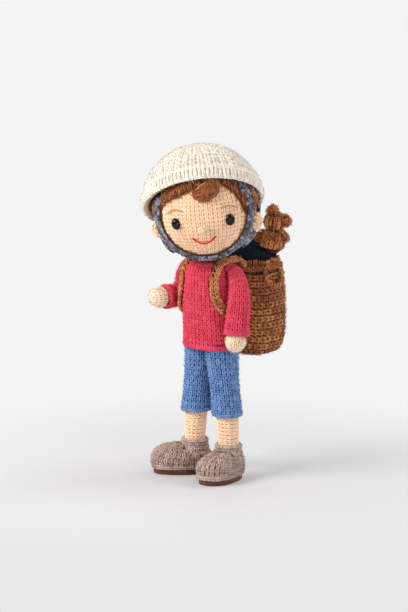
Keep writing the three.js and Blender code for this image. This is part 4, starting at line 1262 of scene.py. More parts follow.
@dataclass
class Crochet:
    """One crocheted piece: which nodes it dresses, its yarn, its gauge and how it is worked."""

    name: str
    body: str
    nodes: Sequence[str]
    yarn: Yarn
    stations: list[Station]
    reach: float
    wide: float
    tall: float
    stitch: Stitch = Stitch.VEE
    columns: int | None = None
    covers: Sequence[str] = ()
    cover_gap: float = 3.0
    proud: float = 0.25
    thickness: float = 1.0
    wobble: float = 0.07
    drift: float = 0.0
    seed: int = 1
    fill: float | None = 0.8
    first: float = 0.0
    last: float = 1.0
    soften: tuple[int, int] = (1, 2)
    ball: bool = False
    inset: float = 1.0
    hems: Sequence[tuple[float, float]] = ()
    hem_width: float = 3.2
    fuzz: int = 0
    fuzz_length: float = 3.4
    curl: float = 0.8
    upside_down: bool = False
    round_and_round: bool = False
    keep: Callable[[Laid], np.ndarray] | None = None
    extra: list[Piece] = field(default_factory=list)

    def skin(self) -> Skin:
        """The grid that the piece is worked on."""
        return Skin(self.nodes, self.stations, self.reach, self.soften, self.ball)

    def lay(self, skin: Skin) -> Laid:
        """The places of the stitches, without those that another piece covers.

        Args:
            skin: The grid.

        Returns:
            The places.
        """
        laid = skin.rows(self.wide, self.tall, self.columns, self.first, self.last, self.drift)
        if self.upside_down:
            laid = Laid(laid.places, laid.outs, -laid.ups, laid.sizes)
        if self.round_and_round:
            laid = laid.sideways()
        return self.seen(laid)

    def seen(self, laid: Laid) -> Laid:
        """The places that no other piece covers.

        Args:
            laid: The places.

        Returns:
            Those that show.
        """
        if self.covers:
            cover = Surface(*self.covers)
            open_air = [not cover.above(p, o, self.cover_gap) for p, o in zip(laid.places, laid.outs)]
            laid = laid.keep(np.array(open_air, bool))
        return laid if self.keep is None else laid.keep(self.keep(laid))

    def build(self) -> None:
        """Works the piece and hands it over."""
        skin = self.skin()
        yarn = WARDROBE.of(self.yarn)
        strand = max(s.radius for s in self.stitch.value) * self.thickness * self.wide
        laid = self.lay(skin).lifted(self.proud - max(s.top() for s in self.stitch.value) * self.wide)
        stitches = worked(f"{self.name}_stitches", laid, self.stitch, yarn, self.seed, self.thickness,
                          self.wobble)
        for run, lift in self.hems:
            edge = self.seen(skin.hem(run, self.hem_width, self.hem_width * 0.86)).lifted(lift)
            self.extra.append(worked(f"{self.name}_hem", edge, Stitch.BRAID, yarn, self.seed + 1,
                                     thickness=0.95, wobble=0.05))
        if self.fuzz:
            loose = self.seen(skin.scatter(self.fuzz, self.fuzz_length, spread=180, seed=self.seed + 2))
            self.extra.append(worked(f"{self.name}_fuzz", loose.lifted(self.proud - 0.1), Stitch.FIBRE,
                                     yarn, self.seed + 3, self.curl, wobble=0.5, steps=4, sides=3))
        # The layer under the stitches is in painted shade, darker than the yarn.
        under = backing(f"{self.name}_under", self.nodes, strand * self.inset - self.proud * 0.5,
                        WARDROBE.under(self.yarn))
        piece = joined(self.name, [stitches, under, *self.extra])
        WARDROBE.hand_over(piece, self.body, self.yarn, self.nodes, self.fill)


def links(line: np.ndarray, middle: Point, length: float = 3.4, wide: float = 2.9, flat: bool = True) -> Laid:
    """Chain links along a line, each with a front and a back.

    Args:
        line: The points of the line.
        middle: What the fronts look away from.
        length: A link's length.
        wide: A link's width.
        flat: Whether the fronts look away level.

    Returns:
        The places of the links.
    """
    run = run_along(line)
    count = round(run[-1] / length)
    at = (np.arange(count) + 0.5) * run[-1] / count
    places = np.stack([np.interp(at, run, line[:, k]) for k in range(3)], axis=1)
    ups = unit(np.stack([np.interp(at + 0.3, run, line[:, k]) for k in range(3)], axis=1) - places)
    away = places - middle
    if flat:
        away[:, 2] = 0
    outs = unit(away - ups * np.sum(away * ups, axis=1, keepdims=True))
    front = Laid(places, outs, ups, np.tile((wide, length, wide * 0.9), (count, 1)))
    return Laid.together([front, Laid(places, -outs, ups, front.sizes)])


# The doll's sub-assemblies

@dataclass
class HeadFrame:
    """The head's place: its centre over the ankles, its turn and its tilt."""

    centre: Point = field(default_factory=lambda: ANKLES + vec(0, -7, 200))
    radius: float = 36.8
    turn: float = 36.0
    tilt: float = 5.5

    @property
    def up(self) -> Point:
        """The direction of the crown."""
        return self.world(vec(0, 0, 1))

    @property
    def back(self) -> Point:
        """The direction of the back of the head."""
        return self.world(vec(0, 1, 0))

    def world(self, local: Point) -> Point:
        """A direction of the head's own frame in the doll's frame."""
        return turn_z(self.turn) @ turn_y(-self.tilt) @ local

    def direction(self, azimuth: float, elevation: float) -> Point:
        """The direction at an azimuth from the face and an elevation."""
        a, e = math.radians(azimuth), math.radians(elevation)
        return self.world(vec(math.sin(a) * math.cos(e), -math.cos(a) * math.cos(e), math.sin(e)))

    def place(self, azimuth: float, elevation: float, radius: float) -> Point:
        """The point at that direction and distance from the head's centre."""
        return self.centre + self.direction(azimuth, elevation) * radius


HEAD = HeadFrame()


@dataclass
class Face:
    """The head's ball with its ears, nose, eyes, brows and smile."""

    stitch_width: float = 3.3
    stitch_height: float = 3.2
    ear_elevation: float = -20.5
    ear_depth: float = 2.4
    nose_elevation: float = -14.5
    nose_depth: float = 1.6
    eye_azimuth: float = 32.0
    eye_elevation: float = -6.5
    eye_width: float = 7.2
    eye_height: float = 8.8
    eye_bulge: float = 3.2
    shank_radius: float = 1.4
    shank_length: float = 10.7
    smile_half: float = 14.6
    smile_ends: float = -24.0
    smile_middle: float = -32.2
    smile_thread: float = 0.62
    smile_lift: float = 0.85
    smile_stitches: int = 5
    brow_places: tuple = ((22, 8), (33, 9.6), (44, 4.6))
    brow_thread: float = 0.42
    brow_lift: float = 0.75

    def build(self) -> None:
        """Builds every piece of the face."""
        Crochet("head_skin", "head", ["head"], Finishes.skin,
                dome(HEAD.centre, HEAD.up, HEAD.back, low=-66, high=62, count=90), reach=40.0,
                wide=self.stitch_width, tall=self.stitch_height, seed=3, fill=0.95, soften=(2, 3),
                ball=True, inset=0.85, fuzz=1200,
                covers=["hair", "hair_fringe", "chin_strap", "helmet", "eye_left", "eye_right", "ear_left",
                        "ear_right", "rear_strap_left", "rear_strap_right"]).build()
        for side, name in SIDES:
            out = HEAD.direction(side * 90, self.ear_elevation)
            Crochet(f"ear_skin_{name}", "head", [f"ear_{name}"], Finishes.skin,
                    dome(HEAD.centre + out * (HEAD.radius - self.ear_depth), out, HEAD.up, low=-20, high=88,
                         count=40), reach=14.0, wide=2.7, tall=2.6, covers=["head", "hair", "helmet"],
                    cover_gap=1.5, seed=5, fill=0.7, columns=12, stitch=Stitch.SNUG, proud=1.1,
                    inset=0.5).build()
            self.eye(side, name)
            self.brow(side, name)
        ahead = HEAD.direction(0, self.nose_elevation)
        Crochet("nose_skin", "head", ["nose"], Finishes.skin,
                dome(HEAD.centre + ahead * (HEAD.radius - self.nose_depth), ahead, HEAD.up, low=-5, high=88,
                     count=30), reach=9.0, wide=2.0, tall=2.2, columns=9, seed=8, fill=0.9,
                stitch=Stitch.SNUG, proud=0.9, inset=0.4).build()
        self.smile()
        for _, name in SIDES:
            WARDROBE.node(f"eye_washer_{name}", Finishes.washer)

    def eye(self, side: int, name: str) -> None:
        """A polished oval eye with its shank.

        Args:
            side: 1 for the doll's left, -1 for its right.
            name: The side's name.
        """
        ahead = HEAD.direction(side * self.eye_azimuth, self.eye_elevation)
        up = unit(HEAD.up - ahead * np.dot(HEAD.up, ahead))
        across = np.cross(up, ahead)
        base = HEAD.centre + ahead * (HEAD.radius + 0.3)
        rings, sides = 14, 40
        corners = [base - ahead * self.shank_length, base + ahead * self.eye_bulge]
        shank, wide, high = self.shank_radius, self.eye_width / 2, self.eye_height / 2
        levels = [(-self.shank_length, shank, shank), (-0.05, shank, shank),
                  (-0.05, wide * 0.97, high * 0.97)]
        levels += [(self.eye_bulge * math.sin(t), wide * math.cos(t), high * math.cos(t))
                   for t in np.linspace(0.02, 1.45, rings)]
        for depth, half_wide, half_high in levels:
            for j in range(sides):
                a = 2 * math.pi * j / sides
                corners.append(base + ahead * depth + across * half_wide * math.cos(a)
                               + up * half_high * math.sin(a))
        made = f"eye_dome_{name}"
        mesh = new_mesh(made, corners, ring_faces(len(levels), sides))
        piece = smooth_object(made, mesh, WARDROBE.of(Finishes.eye))
        WARDROBE.hand_over(piece, "head", Finishes.eye, [f"eye_{name}"])

    def brow(self, side: int, name: str) -> None:
        """One long stitch of thread over the eye, couched in the middle.

        Args:
            side: 1 for the doll's left, -1 for its right.
            name: The side's name.
        """
        radius = HEAD.radius + self.brow_lift
        line = smooth_path([HEAD.place(side * a, e, radius) for a, e in self.brow_places], 24)
        taper = self.brow_thread * (0.75 + 0.35 * np.sin(np.linspace(0.2, math.pi - 0.2, len(line))))
        piece = tube_mesh(f"brow_thread_{name}", line, taper, WARDROBE.of(Finishes.brow))
        WARDROBE.hand_over(piece, "head", Finishes.brow, [f"eyebrow_{name}"])

    def smile(self) -> None:
        """The mouth, in short back stitches that overlap at their ends."""
        places = []
        for s in np.linspace(-1, 1, 5):
            elevation = self.smile_middle + (self.smile_ends - self.smile_middle) * s * s
            places.append(HEAD.place(s * self.smile_half, elevation, HEAD.radius + self.smile_lift))
        steps, lap = 12, 2
        line = smooth_path(places, self.smile_stitches * steps + 1)
        parts = []
        for k in range(self.smile_stitches):
            piece = line[k * steps:(k + 1) * steps + lap]
            bulge = self.smile_thread * (0.86 + 0.2 * np.sin(np.linspace(0.1, math.pi - 0.1, len(piece))))
            parts.append(tube_mesh(f"smile_{k}", piece, bulge, WARDROBE.of(Finishes.smile), sides=8,
                                   twist=4.0))
        WARDROBE.hand_over(joined("smile_thread", parts), "head", Finishes.smile, ["smile"])


@dataclass
class Hair:
    """The brushed hair and the lock on the forehead."""

    fibre_length: float = 5.2
    fibres: int = 9000
    lock_fibres: int = 1300
    lock_lift: float = 1.7
    edge_lift: float = 3.0
    edge_thread: float = 0.4
    edge_places: tuple = ((-6, 27), (-5.2, 28.9), (-0.8, 33.6), (7.1, 37.6))
    lock_places: tuple = ((20, 41), (16, 34), (10, 28.5), (3, 25.5), (-5, 25.5))

    def build(self) -> None:
        """Builds the hair and the lock."""
        self.wool()
        self.lock()

    def wool(self) -> None:
        """The hair between the face and the helmet."""
        rings = dome(HEAD.centre, HEAD.up, HEAD.back, low=-52, high=60, count=90)
        skin = Skin(["hair"], rings, reach=44.0, soften=(1, 1))
        laid = skin.scatter(self.fibres, self.fibre_length, spread=26, seed=21)
        cover = Surface("helmet", "chin_strap", "rear_strap_left", "rear_strap_right")
        seen = [not cover.above(p, o, 4.0) for p, o in zip(laid.places, laid.outs)]
        strands = worked("hair_strands", laid.keep(np.array(seen)).lifted(-0.35), Stitch.FIBRE,
                         WARDROBE.of(Finishes.hair), seed=22, thickness=2.4, wobble=0.2, steps=4, sides=3)
        # The felt under the hair is painted shade, darker than the hair yarn.
        felt = backing("hair_felt", ["hair"], 0.5, WARDROBE.under(Finishes.hair))
        WARDROBE.hand_over(joined("hair_wool", [strands, felt]), "head", Finishes.hair, ["hair"])

    def lock(self) -> None:
        """The lock on the forehead, in hair yarn darkened as painted shade, with a pale strand along its edge
        as a painted highlight.
        """
        line = [HEAD.place(a, e, HEAD.radius + self.lock_lift) for a, e in self.lock_places]
        outs = [HEAD.direction(a, e) for a, e in self.lock_places]
        rings = tube(line, outs[0], count=40, faces=outs)
        skin = Skin(["hair_fringe"], rings, reach=12.0, soften=(1, 1))
        laid = skin.scatter(self.lock_fibres, self.fibre_length * 1.1, spread=14, seed=23, down=False)
        strands = worked("lock_strands", laid.lifted(0.1), Stitch.FIBRE, WARDROBE.of(Finishes.lock),
                         seed=24, thickness=3.2, wobble=0.16, steps=4, sides=3)
        # The pale strand along the lock's edge is a painted highlight.
        edge = smooth_path([HEAD.place(a, e, HEAD.radius + self.edge_lift) for a, e in self.edge_places], 20)
        light = tube_mesh("lock_edge_highlight", edge, self.edge_thread, WARDROBE.of(Finishes.edge_highlight))
        # The felt under the lock is painted shade, darker than the lock's yarn.
        felt = backing("lock_felt", ["hair_fringe"], 0.5, WARDROBE.under(Finishes.lock))
        WARDROBE.hand_over(joined("hair_lock", [strands, joined("lock_felt", [felt, light])]), "head",
                           Finishes.hair, ["hair_fringe"])


@dataclass
class Helmet:
    """The thick cream helmet with its rim band and the straps that hold it."""

    tilt: float = 35.0
    roll: float = 4.0
    lean: float = 1.6
    stitch_width: float = 6.2
    stitch_height: float = 4.6
    rim_level: float = 3.6
    rim_height: float = 9.6
    strap_angle: float = 63.5
    strap_tuck: float = 6.0
    strap_lift: float = 1.5
    corner_lift: float = 1.9
    corner_span: tuple = (-45.5, -30)
    corner_shares: tuple = (0.1, 0.26, 0.42, 0.58, 0.74, 0.9)
    rear_places: tuple = ((86, 30), (99, 13), (106, -3), (106, -18), (99, -31), (85, -39.5), (68, -44))

    def build(self) -> None:
        """Builds the bowl, its band and the straps."""
        turn = turn_y(-self.roll) @ turn_x(-self.tilt)
        axis = HEAD.world(turn @ vec(0, 0, 1))
        back = HEAD.world(turn @ vec(0, 1, 0))
        centre = HEAD.centre + HEAD.world(turn @ vec(-self.lean, 0, 0))
        rings = dome(centre, axis, back, low=5.2, high=89, count=110)
        skin = Skin(["helmet"], rings, reach=52.0)
        band_end = self.rim_height / skin.run[-1]
        finish = WARDROBE.of(Finishes.cream)
        band = skin.rows(self.stitch_width, self.rim_height - 1.0, first=1.0 / skin.run[-1], last=band_end)
        tall = worked("band_stitches", band.lifted(-1.4), Stitch.RIB, finish, seed=31, thickness=0.9,
                      wobble=0.05, steps=6, sides=7)
        edges = Laid.together([skin.hem(self.rim_height - 0.2, wide=4.2, tall=3.0).lifted(0.1),
                               skin.hem(0.9, wide=4.2, tall=3.0).lifted(-0.8)])
        rolls = worked("rim_rolls", edges, Stitch.BRAID, finish, seed=32, thickness=0.85, wobble=0.05,
                       steps=5, sides=6)
        Crochet("helmet_bowl", "head", ["helmet"], Finishes.cream, rings, reach=52.0,
                wide=self.stitch_width, tall=self.stitch_height, first=band_end + 0.008, seed=33, fill=None,
                proud=0.3, thickness=1.14, inset=0.7, extra=[tall, rolls], fuzz=3500,
                fuzz_length=4.6).build()
        self.straps()

    def straps(self) -> None:
        """The chin strap and the two rear straps."""
        crossing = math.tan(math.radians(self.tilt)) / math.tan(math.radians(self.strap_angle))
        end = 90 + math.degrees(math.asin(crossing) + (self.strap_tuck + self.rim_level) / HEAD.radius)
        radius = HEAD.radius + self.strap_lift
        off, ahead = math.sin(math.radians(self.strap_angle)), math.cos(math.radians(self.strap_angle))
        outs = [HEAD.world(vec(off * math.sin(turn), -ahead, -off * math.cos(turn)))
                for turn in np.radians(np.linspace(-end, end, 25))]
        line = [HEAD.centre + out * radius for out in outs]
        self.strap("chin_strap_band", "chin_strap", line, outs, count=110, seed=41, fuzz=400)
        for side, name in SIDES:
            line = [HEAD.place(side * a, e, radius) for a, e in self.rear_places]
            outs = [HEAD.direction(side * a, e) for a, e in self.rear_places]
            self.strap(f"rear_strap_band_{name}", f"rear_strap_{name}", line, outs, count=50,
                       seed=42 + side, fuzz=0, extra=[self.corner(side)])

    def corner(self, side: int) -> Piece:
        """The filled corner where a rear strap meets the chin strap.

        Args:
            side: 1 for the doll's left, -1 for its right.

        Returns:
            The corner's stitches.
        """
        azimuths, elevations = np.array(self.rear_places).T
        off, ahead = math.sin(math.radians(self.strap_angle)), math.cos(math.radians(self.strap_angle))
        rows = []
        for share in self.corner_shares:
            line = []
            for low in np.linspace(*self.corner_span, 14):
                turn = math.acos(-math.sin(math.radians(low)) / off)
                near = math.degrees(math.atan2(math.sin(turn) * off, ahead))
                far = float(np.interp(low, elevations[::-1], azimuths[::-1]))
                azimuth = side * (near + (far - near) * share)
                line.append(HEAD.place(azimuth, low, HEAD.radius + self.corner_lift))
            rows.append(links(np.array(line), HEAD.centre, flat=False))
        return worked("strap_corner", Laid.together(rows), Stitch.BRAID, WARDROBE.of(Finishes.grey),
                      seed=45 + side, thickness=1.1, wobble=0.12)

    @staticmethod
    def strap(name: str, node: str, line: list[Point], outs: list[Point], count: int, seed: int,
              fuzz: int, extra: Sequence[Piece] = ()) -> None:
        """One crocheted grey strap.

        Args:
            name: The piece's name.
            node: The CAD node that it dresses.
            line: The places that it goes through.
            outs: The way that it faces at each of them.
            count: How many rings of rays it has.
            seed: The seed of the wobble.
            fuzz: How many loose fibres it has.
            extra: Pieces that are joined to it.
        """
        Crochet(name, "head", [node], Finishes.grey, tube(line, outs[0], count, faces=outs), reach=8.0,
                wide=2.5, tall=2.5, covers=["helmet", "head"], cover_gap=1.2, seed=seed, fill=None,
                proud=0.35, soften=(0, 1), thickness=0.86, inset=2.3, wobble=0.14, fuzz=fuzz,
                extra=list(extra)).build()


@dataclass
class Body:
    """The sweater, the pants, the legs and what is inside them."""

    waist: float = 97.0
    neck: float = 164.0
    hem: float = 47.0
    hem_spread: float = 14.7
    hip_spread: float = 9.0
    ankle_spread: float = 16.0
    lean: float = 5.0

    def build(self) -> None:
        """Builds the sweater body, the pants legs and the shins."""
        line = [ANKLES + vec(0, -self.lean * t, self.waist + (self.neck - self.waist) * t)
                for t in (0.0, 0.35, 0.75, 1.0)]
        Crochet("sweater", "body", ["torso"], Finishes.crimson,
                tube(line, vec(0, 1, 0), count=90, level=True), reach=34.0, wide=3.45, tall=3.7, columns=36,
                seed=51, fill=0.9, inset=1.4, hems=((1.0, -0.3),), fuzz=1500,
                covers=["head", "sleeve_left", "sleeve_right", "bag_strap_left", "bag_strap_right"],
                cover_gap=1.2).build()
        for side, name in SIDES:
            line = self.leg_line(side)
            Crochet(f"pants_{name}", "body", [f"pants_leg_{name}"], Finishes.blue,
                    tube(line[1:], vec(0, 1, 0), count=70, level=True), reach=24.0, wide=3.6, tall=3.9,
                    columns=20, covers=["torso"], cover_gap=2.0, seed=54 + side, fill=0.85, inset=1.9,
                    thickness=0.84, hems=((1.0, -0.6),), fuzz=600).build()
            Crochet(f"shin_{name}", "body", [f"leg_{name}"], Finishes.skin,
                    tube(line[:2], vec(0, 1, 0), count=40, level=True), reach=14.0, wide=3.3, tall=2.75,
                    columns=15, inset=1.1, thickness=0.97, round_and_round=True,
                    covers=[f"shoe_{name}", f"pants_leg_{name}"], seed=57 + side, fill=0.9).build()
            WARDROBE.node(f"leg_wire_{name}", Finishes.wire)
        WARDROBE.node("neck_post", Finishes.post)
        WARDROBE.node("shoulder_wire", Finishes.wire)

    def leg_line(self, side: int) -> list[Point]:
        """The middle of a leg from the ankle to the waist.

        Args:
            side: 1 for the doll's left, -1 for its right.

        Returns:
            The points of the line.
        """
        return [ANKLES + vec(side * self.ankle_spread, 0, 22),
                ANKLES + vec(side * self.hem_spread, 0, self.hem),
                ANKLES + vec(side * (self.hem_spread + self.hip_spread) / 2, 0, (self.hem + self.waist) / 2),
                ANKLES + vec(side * self.hip_spread, 0, self.waist + 1)]


@dataclass
class Arms:
    """The sleeves and the hands. The left arm hangs and the right one is bent."""

    root: float = 17.8
    shoulder: float = 154.0
    drop: float = 43.0
    hand_radius: float = 7.7
    hand_tuck: float = 3.1
    left: tuple = ((0, 0, 0), (0.105, 0.01, 0.023), (0.223, 0.06, 0.186), (0.316, 0.149, 0.442),
                   (0.353, 0.233, 0.744), (0.363, 0.284, 1))
    right: tuple = ((0, 0, 0), (0.105, -0.014, 0.023), (0.2, -0.07, 0.2), (0.233, -0.107, 0.395),
                    (0.265, -0.009, 0.535), (0.316, 0.186, 0.544), (0.353, 0.326, 0.54))

    def build(self) -> None:
        """Builds both arms."""
        for side, name, stations, seed in ((1, "left", self.left, 61), (-1, "right", self.right, 64)):
            line = [ANKLES + vec(side * (self.root + self.drop * out), -self.drop * forward,
                                 self.shoulder - self.drop * down) for out, forward, down in stations]
            Crochet(f"sleeve_knit_{name}", f"arm_{name}", [f"sleeve_{name}"], Finishes.crimson,
                    tube(line, vec(0, 1, 0.2), count=60), reach=14.0, wide=3.5, tall=3.6, columns=16,
                    seed=seed, covers=["torso", f"bag_strap_{name}"], cover_gap=0.9, upside_down=True,
                    inset=1.6, thickness=0.87, proud=0.1, hems=((-1.0, -0.3), (-0.1, -1.5)),
                    fuzz=600).build()
            along = unit(line[-1] - line[-2])
            centre = line[-1] + along * (self.hand_radius - self.hand_tuck)
            Crochet(f"hand_skin_{name}", f"arm_{name}", [f"hand_{name}"], Finishes.hand,
                    dome(centre, along, vec(0, 0.3, 1) if side < 0 else vec(0, 1, 0), low=-72, high=88,
                         count=44), reach=12.0, wide=3.1, tall=3.1, covers=[f"sleeve_{name}"],
                    cover_gap=1.2, seed=seed + 2, fill=0.9, inset=1.2, thickness=0.86, fuzz=300).build()


@dataclass
class Shoes:
    """The chunky shoes and their leather soles."""

    ankle_back: float = 9.0
    ankle_spread: float = 16.0
    collar_radii: tuple = ((9.4, 9.8), (13.4, 12.4), (17.4, 11.1), (21.2, 10.2), (23.8, 9.8), (25.4, 9.2))
    collar_low: float = 14.5
    roll_radius: float = 9.5
    roll_stitches: int = 19
    toe_out: tuple = (6.0, 50.0)

    def build(self) -> None:
        """Builds both shoes."""
        for side, name, toe_out in ((1, "left", self.toe_out[0]), (-1, "right", self.toe_out[1])):
            turn = turn_z(side * toe_out)
            ankle = ANKLES + vec(side * self.ankle_spread, 0, 0)
            middle = ankle + turn @ vec(0, -self.ankle_back, 0)
            up = vec(0, 0, 1)
            heel = turn @ vec(0, 1, 0)
            top = self.collar_radii[-1][0]

            def on_upper(laid: Laid, ankle: Point = ankle) -> np.ndarray:
                """Which places the upper keeps."""
                return (self.past_collar(laid, ankle) > 0.7) | (laid.places[:, 2] < self.collar_low)

            def on_collar(laid: Laid, ankle: Point = ankle) -> np.ndarray:
                """Which places the collar's wall keeps."""
                return self.past_collar(laid, ankle) < 1.1

            collar = Crochet(f"collar_{name}", "body", [f"shoe_{name}"], Finishes.greige,
                             tube([ankle + up * self.collar_low, ankle + up * (top - 0.8)], heel, count=30),
                             reach=13.0, wide=3.4, tall=3.5, columns=20, keep=on_collar)
            wall = worked(f"collar_stitches_{name}", collar.lay(collar.skin()).lifted(-0.85), Stitch.VEE,
                          WARDROBE.of(Finishes.greige), seed=75, thickness=1.0, wobble=0.1)
            roll = worked(f"collar_roll_{name}", self.roll(ankle + up * (top - 0.5)), Stitch.BRAID,
                          WARDROBE.of(Finishes.greige), seed=76, thickness=1.15, wobble=0.08)
            Crochet(f"shoe_knit_{name}", "body", [f"shoe_{name}"], Finishes.greige,
                    dome(middle + up * 5.0, up, heel, low=-1, high=88, count=60), reach=34.0, wide=3.9,
                    tall=3.7, seed=72 + side, fill=0.6, keep=on_upper, wobble=0.12, proud=0.5,
                    extra=[wall, roll], hems=((0.7, -0.1),), hem_width=3.6, inset=1.2, fuzz=900).build()
            WARDROBE.node(f"sole_{name}", Finishes.sole)

    def past_collar(self, laid: Laid, ankle: Point) -> np.ndarray:
        """How far each place stands out past the collar's wall.

        Args:
            laid: The places.
            ankle: The middle of the collar.

        Returns:
            A distance for each place, negative inside the wall.
        """
        off = np.linalg.norm((laid.places - ankle)[:, :2], axis=1)
        heights, radii = zip(*self.collar_radii)
        return off - np.interp(laid.places[:, 2], heights, radii)

    def roll(self, middle: Point) -> Laid:
        """The round of stitches that rolls over the collar's edge.

        Args:
            middle: The middle of the collar's edge.

        Returns:
            The places of the stitches.
        """
        count = self.roll_stitches
        angles = np.linspace(0, 2 * math.pi, count, endpoint=False)
        away = np.stack((np.cos(angles), np.sin(angles), np.zeros(count)), axis=1)
        along = np.stack((-np.sin(angles), np.cos(angles), np.zeros(count)), axis=1)
        outs = unit(away * 0.75 + vec(0, 0, 0.66))
        sizes = np.tile((3.0, 2 * math.pi * self.roll_radius / count, 3.0), (count, 1))
        return Laid(middle + away * (self.roll_radius - 0.6), outs, along, sizes)


@dataclass
class Backpack:
    """The ribbed sack, its straps, its neck chain and the blanket."""

    back: float = 38.88
    low_rings: tuple = (101, 128)
    top: float = 157.0
    neck: float = 147.0
    half_width: float = 29.0
    half_depth: float = 20.0
    chain_level: float = 152.0
    chain_gap: float = 0.9
    loop_drop: float = 13.0
    loop_half: float = 9.0
    shares: tuple = ((87, 0.74), (89, 0.86), (94, 0.955), (105, 1), (133.2, 1), (145, 0.955), (152, 0.86),
                     (157, 0.88))
    strap_line: tuple = (
        (-13, 20.7, 154.5), (-13.5, 15.4, 160.3), (-14.5, 4.9, 161.2), (-14.8, -7.5, 160.4),
        (-15.1, -12.6, 155.9), (-15.6, -16, 146), (-17.1, -15.2, 136), (-20.6, -10.8, 127),
        (-22.7, -3.8, 122), (-22.1, 2.7, 118), (-19.4, 8.8, 113), (-16.6, 12.5, 109), (-17, 20.3, 106),
    )
    strap_faces: tuple = (
        (-0.1, -0.6, 0.8), (-0.3, 0.2, 0.9), (-0.3, 0.1, 0.9), (-0.3, -0.3, 0.8), (-0.3, -0.8, 0.5),
        (-0.8, -0.6, 0), (-0.8, -0.6, 0), (-0.9, -0.4, 0), (-1, -0.1, 0), (-1, 0.2, 0), (-0.8, 0.5, 0),
        (-0.7, 0.7, 0), (-0.5, 0.4, 0.5),
    )

    def build(self) -> None:
        """Builds the sack and what is on it."""
        middle = ANKLES + vec(0, self.back, 0)
        up = vec(0, 0, 1)
        rings = tube([middle + up * z for z in (*self.low_rings, self.top)], vec(0, -1, 0), count=70,
                     first_cap=True)
        sack = Crochet("sack", "body", ["bag"], Finishes.pack, rings, reach=40.0, wide=4.6, tall=5.1,
                       stitch=Stitch.RIDGE, seed=81, fill=None, proud=0.6, inset=1.1, wobble=0.1, drift=0.5,
                       soften=(1, 1), fuzz=2700, curl=1.5, round_and_round=True)
        skin = sack.skin()
        sack.last = 1 - (self.top - self.neck) / skin.run[-1]
        folds = skin.rows(wide=4.4, tall=self.top - self.neck, first=sack.last).lifted(-0.6)
        lip = skin.hem(-0.9, wide=4.0, tall=3.4).lifted(-0.7)
        yarn = WARDROBE.of(Finishes.pack)
        sack.extra = [worked("sack_folds", folds, Stitch.RIB, yarn, seed=82, thickness=0.85, wobble=0.14,
                             steps=6, sides=6),
                      worked("sack_lip", lip, Stitch.CHAIN, yarn, seed=83, thickness=1.1, wobble=0.12)]
        sack.build()
        for side, name in SIDES:
            mirror = vec(-side, 1, 1)
            line = [ANKLES + vec(*p) * mirror for p in self.strap_line]
            faces = [vec(*n) * mirror for n in self.strap_faces]
            Crochet(f"pack_strap_{name}", "body", [f"bag_strap_{name}"], Finishes.strap,
                    tube(line, faces[0], count=110, faces=faces), reach=8.0, wide=3.4, tall=3.5, columns=5,
                    stitch=Stitch.CHAIN, covers=["torso", "bag"], cover_gap=0.9, seed=84 + side, fill=None,
                    proud=0.45, inset=2.4, soften=(0, 1), wobble=0.12, fuzz=200, curl=1.2).build()
        self.neck_chain(middle)
        self.blanket(middle)

    def neck_chain(self, middle: Point) -> None:
        """The chain round the sack's neck with its carrying loop, link by link.

        Args:
            middle: The middle of the sack, at the ground.
        """
        heights, shares = zip(*self.shares)
        z, drop = self.chain_level, self.loop_drop
        half_wide = self.half_width * float(np.interp(z, heights, shares)) + self.chain_gap
        half_deep = self.half_depth * float(np.interp(z, heights, shares)) + self.chain_gap
        angles = np.linspace(0, 2 * math.pi, 240)
        power = 2 / 3.2
        ring = np.array([middle + vec(half_wide * math.copysign(abs(math.cos(a)) ** power, math.cos(a)),
                                      half_deep * math.copysign(abs(math.sin(a)) ** power, math.sin(a)), z)
                         for a in angles])
        loop = []
        for s, d in ((-1, 0), (-0.98, 0.35), (-0.62, 0.86), (0, 1), (0.62, 0.86), (0.98, 0.35), (1, 0)):
            share = float(np.interp(z - drop * d, heights, shares))
            loop.append(middle + vec(self.half_width * share + 2.6, -3 + s * self.loop_half, z - d * drop))
        laid = [links(ring, middle),
                links(smooth_path(loop, 120), middle - vec(20, 0, 0), length=3.8, wide=4.0)]
        piece = worked("neck_chain", Laid.together(laid), Stitch.CHAIN, WARDROBE.of(Finishes.pack), seed=88,
                       thickness=1.1, wobble=0.12)
        WARDROBE.hand_over(piece, "body", Finishes.strap, ["bag_neck_chain"])

    def blanket(self, middle: Point) -> None:
        """The folded blanket in the sack's mouth.

        Args:
            middle: The middle of the sack, at the ground.
        """
        Crochet("folded_blanket", "blanket", ["blanket"], Finishes.teal,
                dome(middle + vec(0, 2, self.top - 4), vec(0, 0, 1), vec(0, -1, 0), low=2, high=88,
                     count=60), reach=40.0, wide=2.6, tall=2.5, covers=["bag", "bear_body"], cover_gap=1.5,
                seed=91, fill=0.6).build()


